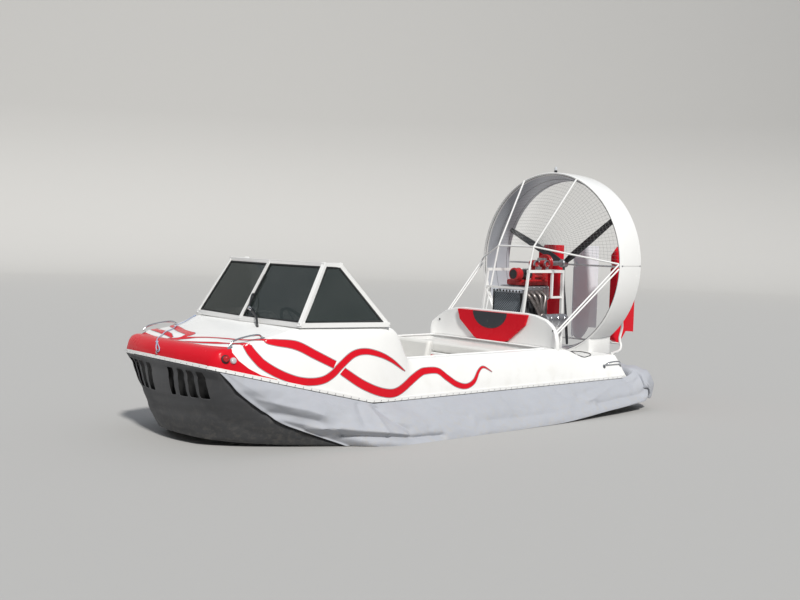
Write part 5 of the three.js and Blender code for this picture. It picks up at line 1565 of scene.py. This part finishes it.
cover.block((-0.070, 1.200, 1.0955), (0.140, 1.550, 1.150), oily_red, 0.014)
for y in (1.23, 1.31, 1.39, 1.47, 1.52):
    cover.block((-0.030, y, 1.147), (0.100, y + 0.008, 1.1498), oily_red, 0.002)
bolts = [((x, y, 1.149), UP) for x in (-0.055, 0.125) for y in (1.22, 1.32, 1.42, 1.53)]
cover.dots(bolts, 0.008, dull_metal, 0.1, 6)
cover.done("craft", "engine_cover", slot="red_gelcoat")

# %% Intake, belts and bearing
intake = Maker("air_filter_dressed")
profile = [(0.030, 0.0), (0.052, 0.001), (0.058, 0.006), (0.060, 0.014), (0.058, 0.020), (0.056, 0.022),
           (0.056, 0.060), (0.060, 0.063), (0.060, 0.072), (0.050, 0.076)]
intake.turned(profile, (0.090, 1.120, 1.200), AFT, oily_red, 40)
profile = [(0.044, -0.0005), (0.044, 0.0005), (0.001, 0.001)]
intake.turned(profile, (0.090, 1.1203, 1.200), (0, -1, 0), black_satin, 32)
intake.done("craft", "air_filter", slot="red_gelcoat")
eased("intake_pipe", black_satin, 0.004)
horns = Maker("intake_horns_dressed")
HORN_Z, HORN_LONG, HORN_INSET = 1.298, 0.086, 0.050
# Each horn's mouth: x, y
HORN_MOUTHS = [(0.140, 1.388), (0.186, 1.480)]
# A horn from its back to its mouth, in three finishes: radius, how far along
HORN = [([(0.012, 0.0), (0.028, 0.003), (0.0335, 0.010), (0.0345, 0.060), (0.035, 0.066)], oily_red),
        ([(0.034, 0.066), (0.035, 0.068), (0.035, 0.082), (0.033, 0.086), (0.028, 0.086), (0.026, 0.070)], polished),
        ([(0.0255, 0.071), (0.001, 0.066)], oily_red)]
stem_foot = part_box("engine_cover")[1].z + 0.0008
for x, y in HORN_MOUTHS:
    for profile, look in HORN:
        horns.turned(profile, (x - HORN_LONG, y, HORN_Z), PORT, look, 36)
    horns.tube([(x - HORN_INSET, y, stem_foot), (x - HORN_INSET, y, HORN_Z)], 0.0195, oily_red, 20)
horns.tube([(x - HORN_INSET, y, 1.180) for x, y in HORN_MOUTHS], 0.015, oily_red, 16)
horns.done("craft", "intake_horns", slot="red_gelcoat")
eased("belt_guard", oily_red, 0.004)
eased("shaft_bearing", dull_metal, 0.003)

# %% Radiator
LATTICE = 260.0
core = Look("radiator_core", (0.030, 0.031, 0.034), 0.5, metallic=0.5)
across, _, up = core.axes()
lattice = ((across + up) * LATTICE).wave().step(0.45, 0.95) + ((across - up) * LATTICE).wave().step(0.45, 0.95)
lattice = lattice.least(1.0)
core.paint(core.mixed(lattice, (0.035, 0.040, 0.046), (0.34, 0.38, 0.42)))
core.bumped(lattice, 0.002, 0.8)
blue_tank = powder_coat("blue_tank", (0.52, 0.56, 0.61), 0.35)
rad = Maker("radiator_dressed")
rad.block((-0.190, 1.169, 0.545), (0.140, 1.187, 1.030), core, 0.003)
for x in (-0.205, 0.140):
    rad.block((x, 1.166, 0.520), (x + 0.015, 1.1895, 1.030), black_satin, 0.003)
rad.block((-0.205, 1.159, 1.026), (0.160, 1.1895, 1.056), blue_tank, 0.010)
profile = [(0.018, 0), (0.018, 0.006), (0.022, 0.007), (0.022, 0.016), (0.012, 0.018)]
rad.turned(profile, (-0.120, 1.174, 1.040), UP, polished, 24)
rad.dots([((x, 1.160, 1.041), (0, -1, 0)) for x in np.linspace(-0.185, 0.140, 9)], 0.011, rubber, 0.5, 10)
rad.done("craft", "radiator", slot="grey_paint")

# %% [markdown]
# ## Guard
# Thin tubes reach from two knees over the engine to the lip of the duct, with wire mesh laced between
# them, so that nothing loose is drawn into the propeller.

# %% Guard tubes
DUCT_FRONT, DUCT_DEPTH, DUCT_Z, DUCT_OUTER = 1.685, 0.319, 1.300, 0.866
GUARD_TUBE, BRACE_TUBE, LIP_RADIUS, LIP_AHEAD = 0.0085, 0.0078, 0.857, 0.0094
KNEE = Vector((0.222, 1.240, 1.456))


def ring_point(degrees, radius=LIP_RADIUS, y=DUCT_FRONT - LIP_AHEAD):
    angle = math.radians(degrees)
    return Vector((radius * math.cos(angle), y, DUCT_Z + radius * math.sin(angle)))


knees = [flipped([KNEE], side)[0] for side in (1, -1)]
guard = Maker("guard_tubes")
for side in (1, -1):
    knee, *ends = flipped([KNEE, ring_point(67.5), ring_point(1.5), (0.222, 1.030, 0.568)], side)
    for end in ends:
        guard.tube([knee, end], GUARD_TUBE, white_tube, 14)
    profile = [(0.003, -0.0105), (0.0075, -0.0075), (0.0105, 0.0), (0.0075, 0.0075), (0.003, 0.0105)]
    guard.turned(profile, knee, UP, white_tube, 16)
    for top_drop, foot_drop in ((0, 0), (0.042, 0.030)):
        top = Vector((0.856 * side, DUCT_FRONT - LIP_AHEAD, DUCT_Z + 0.018 - top_drop))
        foot = Vector((0.728 * side, 1.0065, 0.724 - foot_drop))
        guard.tube([foot, top], BRACE_TUBE, white_tube, 14)
        ends = [(top, (top - foot).normalized()), (foot, (foot - top).normalized())]
        guard.dots(ends, BRACE_TUBE, white_tube, 0.4, 14)
guard.tube(knees[::-1], GUARD_TUBE, white_tube, 14)
guard.done("craft", "guard_frame", slot="white_paint")

# %% Wire mesh between the tubes
WIRE = 0.0007


def wires(maker, edge_a, edge_b, across, along):
    """Wires between two edges, each a list of points: some along both, some from one to the other."""
    edge_a, edge_b = spaced(edge_a, across), spaced(edge_b, across)
    for a, b in zip(edge_a, edge_b):
        if (a - b).length > 0.01:
            maker.tube([a, b], WIRE, wire_metal, 4)
    for t in np.linspace(0, 1, along + 2)[1:-1]:
        maker.tube([a.lerp(b, t) for a, b in zip(edge_a, edge_b)], WIRE, wire_metal, 4)


mesh_maker = Maker("guard_wires")
top_arc = [ring_point(a) for a in np.linspace(67.5, 112.5, 13)]
wires(mesh_maker, knees, top_arc, 24, 22)
side_arc = [ring_point(a) for a in np.linspace(67.5, 1.5, 20)]
for side in (1, -1):
    knee, *arc = flipped([KNEE, *side_arc], side)
    wires(mesh_maker, [knee, knee + (arc[-1] - arc[0]).normalized() * 0.004], arc, 28, 22)
mesh_maker.done("craft", slot="steel")

# %% [markdown]
# ## Duct
# The duct is a deep moulded ring: a rolled intake lip, a straight outer wall with a bolted joint
# round it, and a bore with a dark rub strip where the blade tips pass. It stands on a moulded foot.

# %% Duct ring and foot
# The bore is painted a bluish grey as the shade inside the duct.
shaded_bore_gel = glossy("bore_gelcoat_painted_shade", (0.44, 0.46, 0.50), (0.30, 0.30, 0.30), 0.34, shine=0.20)
DUCT_SPOT, DUCT_STEPS = (0, DUCT_FRONT, DUCT_Z), 160
duct = Maker("duct_ring")
profile = [(0.838, 0.030), (0.843, 0.016), (0.849, 0.006), (0.855, 0.0005), (0.861, 0.0005), (0.865, 0.005),
           (DUCT_OUTER, 0.012), (DUCT_OUTER, 0.110), (0.8655, 0.150), (0.8635, 0.200), (0.8595, 0.260),
           (0.854, DUCT_DEPTH - 0.003), (0.851, DUCT_DEPTH), (0.804, DUCT_DEPTH), (0.8005, DUCT_DEPTH - 0.003)]
duct.turned(profile, DUCT_SPOT, AFT, white_gel, DUCT_STEPS)
profile = [(0.8005, DUCT_DEPTH - 0.003), (0.797, 0.295), (0.797, 0.235), (0.804, 0.150), (0.820, 0.080), (0.838, 0.030)]
duct.turned(profile, DUCT_SPOT, AFT, shaded_bore_gel, DUCT_STEPS)
# The two skins meet end to end, so their flat end caps come off
open_rings = [(face, mark) for face, mark in zip(duct.faces, duct.marks) if len(face) == 4]
duct.faces, duct.marks = [list(part) for part in zip(*open_rings)]
duct = duct.done("craft", "duct", slot="white_gelcoat", weld=True)
foot = Maker("duct_foot")
foot.block((-0.540, 1.691, 0.470), (0.540, 2.001, 0.962), white_gel, 0.012)
foot = foot.done("craft", slot="white_gelcoat")
bore = Maker("bore_cutter")
bore.turned([(0.853, -0.3), (0.853, 0.7)], DUCT_SPOT, AFT, white_gel, DUCT_STEPS)
foot = cut_with(foot, bore.done("craft"))
foot.data.set_sharp_from_angle(angle=math.radians(40))

JOINT_Z = DUCT_Z + 0.006
trim = Maker("duct_trim")
# Rubber rings: radius, how far aft, thickness
for radius, along, thick in ((0.8435, 0.0125, 0.0022), (0.7965, 0.270, 0.0016), (0.8065, 0.133, 0.0014)):
    loop = [ring_point(a, radius, DUCT_FRONT + along) for a in np.linspace(0, 360, 129)[:-1]]
    trim.tube(loop, thick, rubber, 6, joined=True)
# The two halves of the duct meet at its widest height, with a bolt at each end of the joint
JOINT = [(0.8662, 0.012), (0.8662, 0.110), (0.8657, 0.150), (0.8637, 0.200), (0.8597, 0.260), (0.8542, 0.316)]
for side in (1, -1):
    trim.tube([(radius * side, DUCT_FRONT + along, JOINT_Z) for radius, along in JOINT], 0.0012, rubber, 6)
    for radius, along in ((0.866, 0.030), (0.8545, 0.300)):
        trim.dots([((side * radius, DUCT_FRONT + along, JOINT_Z), (side, 0, 0))], 0.009, dull_metal, 0.8, 8)
trim.done("craft", slot="black")

STERN_LIGHT = (0.020, 1.735, 2.160)
lamp_top = Maker("stern_light_dressed")
lamp_top.turned([(0.013, 0.0005), (0.015, 0.002), (0.015, 0.024), (0.012, 0.027)], STERN_LIGHT, UP, black_satin, 24)
profile = [(0.013, 0.027), (0.014, 0.030), (0.014, 0.050), (0.009, 0.060), (0.001, 0.0645)]
lamp_top.turned(profile, STERN_LIGHT, UP, clear_lens, 24)
lamp_top.done("craft", "stern_light", slot="lamp")

# %% [markdown]
# ## Propeller
# Three composite blades are bolted to a hub on the belt-driven shaft. Each blade is a twisted wing
# section that thins and narrows towards its tip.

# %% Blades, hub and pulley
PROP = Vector((0, 1.918, DUCT_Z))
BLADE_ANGLES = (36, 156, 276)
PROP, BLADE_ANGLES, SECTION_STEPS = Vector((0, 1.918, DUCT_Z)), (36, 156, 276), 24
# Out along a blade: radius, chord, thickness, twist in degrees
BLADE = np.array([(0.040, 0.052, 0.026, 55), (0.160, 0.068, 0.018, 46), (0.420, 0.064, 0.012, 30),
                  (0.660, 0.054, 0.008, 20), (0.770, 0.042, 0.0060, 15.5), (0.786, 0.030, 0.005, 15)])


def blade_ring(radius, chord, thick, twist, turned_by):
    """One wing section of a blade: blunt ahead, thin behind."""
    ring = []
    for k in range(SECTION_STEPS):
        angle = 2 * math.pi * k / SECTION_STEPS
        along = 0.5 * math.cos(angle)
        fat = 0.5 * math.sin(angle) * math.sqrt(max(0.5 - along, 0.02)) * 1.25
        flat = Quaternion(PORT, math.radians(twist)) @ Vector((0, fat * thick, along * chord))
        flat.x = radius
        ring.append(PROP + Quaternion(AFT, -turned_by) @ flat)
    return ring


blade_look = Look("blade_composite", (0.014, 0.015, 0.017), 0.32, coat_weight=0.25)
blade_look.rough(blade_look.noise(25, 4) * 0.22 + 0.20)
blade_look.bumped(blade_look.noise(600, 2), 0.0001, 0.4)
radii = np.concatenate([np.linspace(0.040, 0.770, 26), [0.780, 0.786]])
rows = [smooth_column(radii, BLADE[:, 0], BLADE[:, k]) for k in (1, 2, 3)]
for i, degrees in enumerate(BLADE_ANGLES, 1):
    piece = Maker(f"blade_{i}_dressed")
    piece.skin([blade_ring(r, c, t, w, math.radians(degrees)) for r, c, t, w in zip(radii, *rows)], blade_look)
    piece.done("propeller", f"prop_blade_{i}", slot="black", angle=50)
hub = Maker("hub_and_pulley")
profile = [(0.0222, -0.326), (0.0222, -0.034), (0.034, -0.034), (0.0395, -0.028), (0.0395, 0.028), (0.034, 0.034),
           (0.022, 0.034), (0.018, 0.040)]
hub.turned(profile, PROP, AFT, dull_metal, 40)
profile = [(0.030, -0.282), (0.082, -0.281), (0.084, -0.278), (0.080, -0.272), (0.080, -0.252), (0.084, -0.246),
           (0.082, -0.243), (0.030, -0.242)]
hub.turned(profile, PROP, AFT, oily_red, 48)
bolts = [(PROP + Vector((0.028 * math.cos(a), 0.034, 0.028 * math.sin(a))), AFT)
         for a in np.linspace(0, 2 * math.pi, 7)[:-1]]
hub.dots(bolts, 0.005, polished, 0.8, 6)
hub.done("propeller", "prop_shaft", slot="metal")

# %% [markdown]
# ## Rudders
# Three foils hang behind the duct between two beams. The outer two are red; the middle one is grey
# and carries a ribbed grip pattern.

# %% Rudder foils and beams
GRIP = 420.0
rudder_grey = powder_coat("rudder_grey", (0.80, 0.82, 0.86))
_, along, up = rudder_grey.axes()
ribs = ((up * GRIP).wave() * (along * GRIP).wave()).step(-0.2, 0.6)
rudder_grey.paint(rudder_grey.mixed(ribs * 0.5, (0.84, 0.86, 0.90), (0.46, 0.48, 0.52)))
rudder_grey.bumped(ribs, 0.0008, 0.6)
for name, look, slot in (("starboard", red_gel, "red_gelcoat"), ("centre", rudder_grey, "grey_paint"),
                         ("port", red_gel, "red_gelcoat")):
    eased(f"rudder_{name}", look, 0.003)
BEAM, FRAME_TUBE = 0.0088, 0.012
beam_y = DUCT_FRONT + DUCT_DEPTH + 0.0095
beam = Maker("rudder_beam_dressed")
beam.tube([(-0.838, beam_y, 1.290), (0.838, beam_y, 1.290)], BEAM, white_tube, 20)
for x in (-0.457, 0, 0.457):
    beam.block((x - 0.012, beam_y, 1.282), (x + 0.012, 2.098, 1.298), white_tube, 0.003)
beam.done("craft", "rudder_beam_upper", slot="white_paint")
tail = Maker("rudder_frame_dressed")
tail.tube([(-0.590, 2.088, 0.566), (0.590, 2.088, 0.566)], BEAM, white_tube, 20)
route = [(0.652, 2.015, 0.800), (0.604, 2.086, 0.716), (0.580, 2.088, 0.612), (0.602, 2.082, 0.546),
         (0.654, 1.990, 0.510), (0.772, 1.740, 0.508)]
for side in (1, -1):
    tail.tube(flipped(curve_through(route, 60), side), FRAME_TUBE, white_tube, 16)
tail.done("craft", "rudder_frame", slot="white_paint")
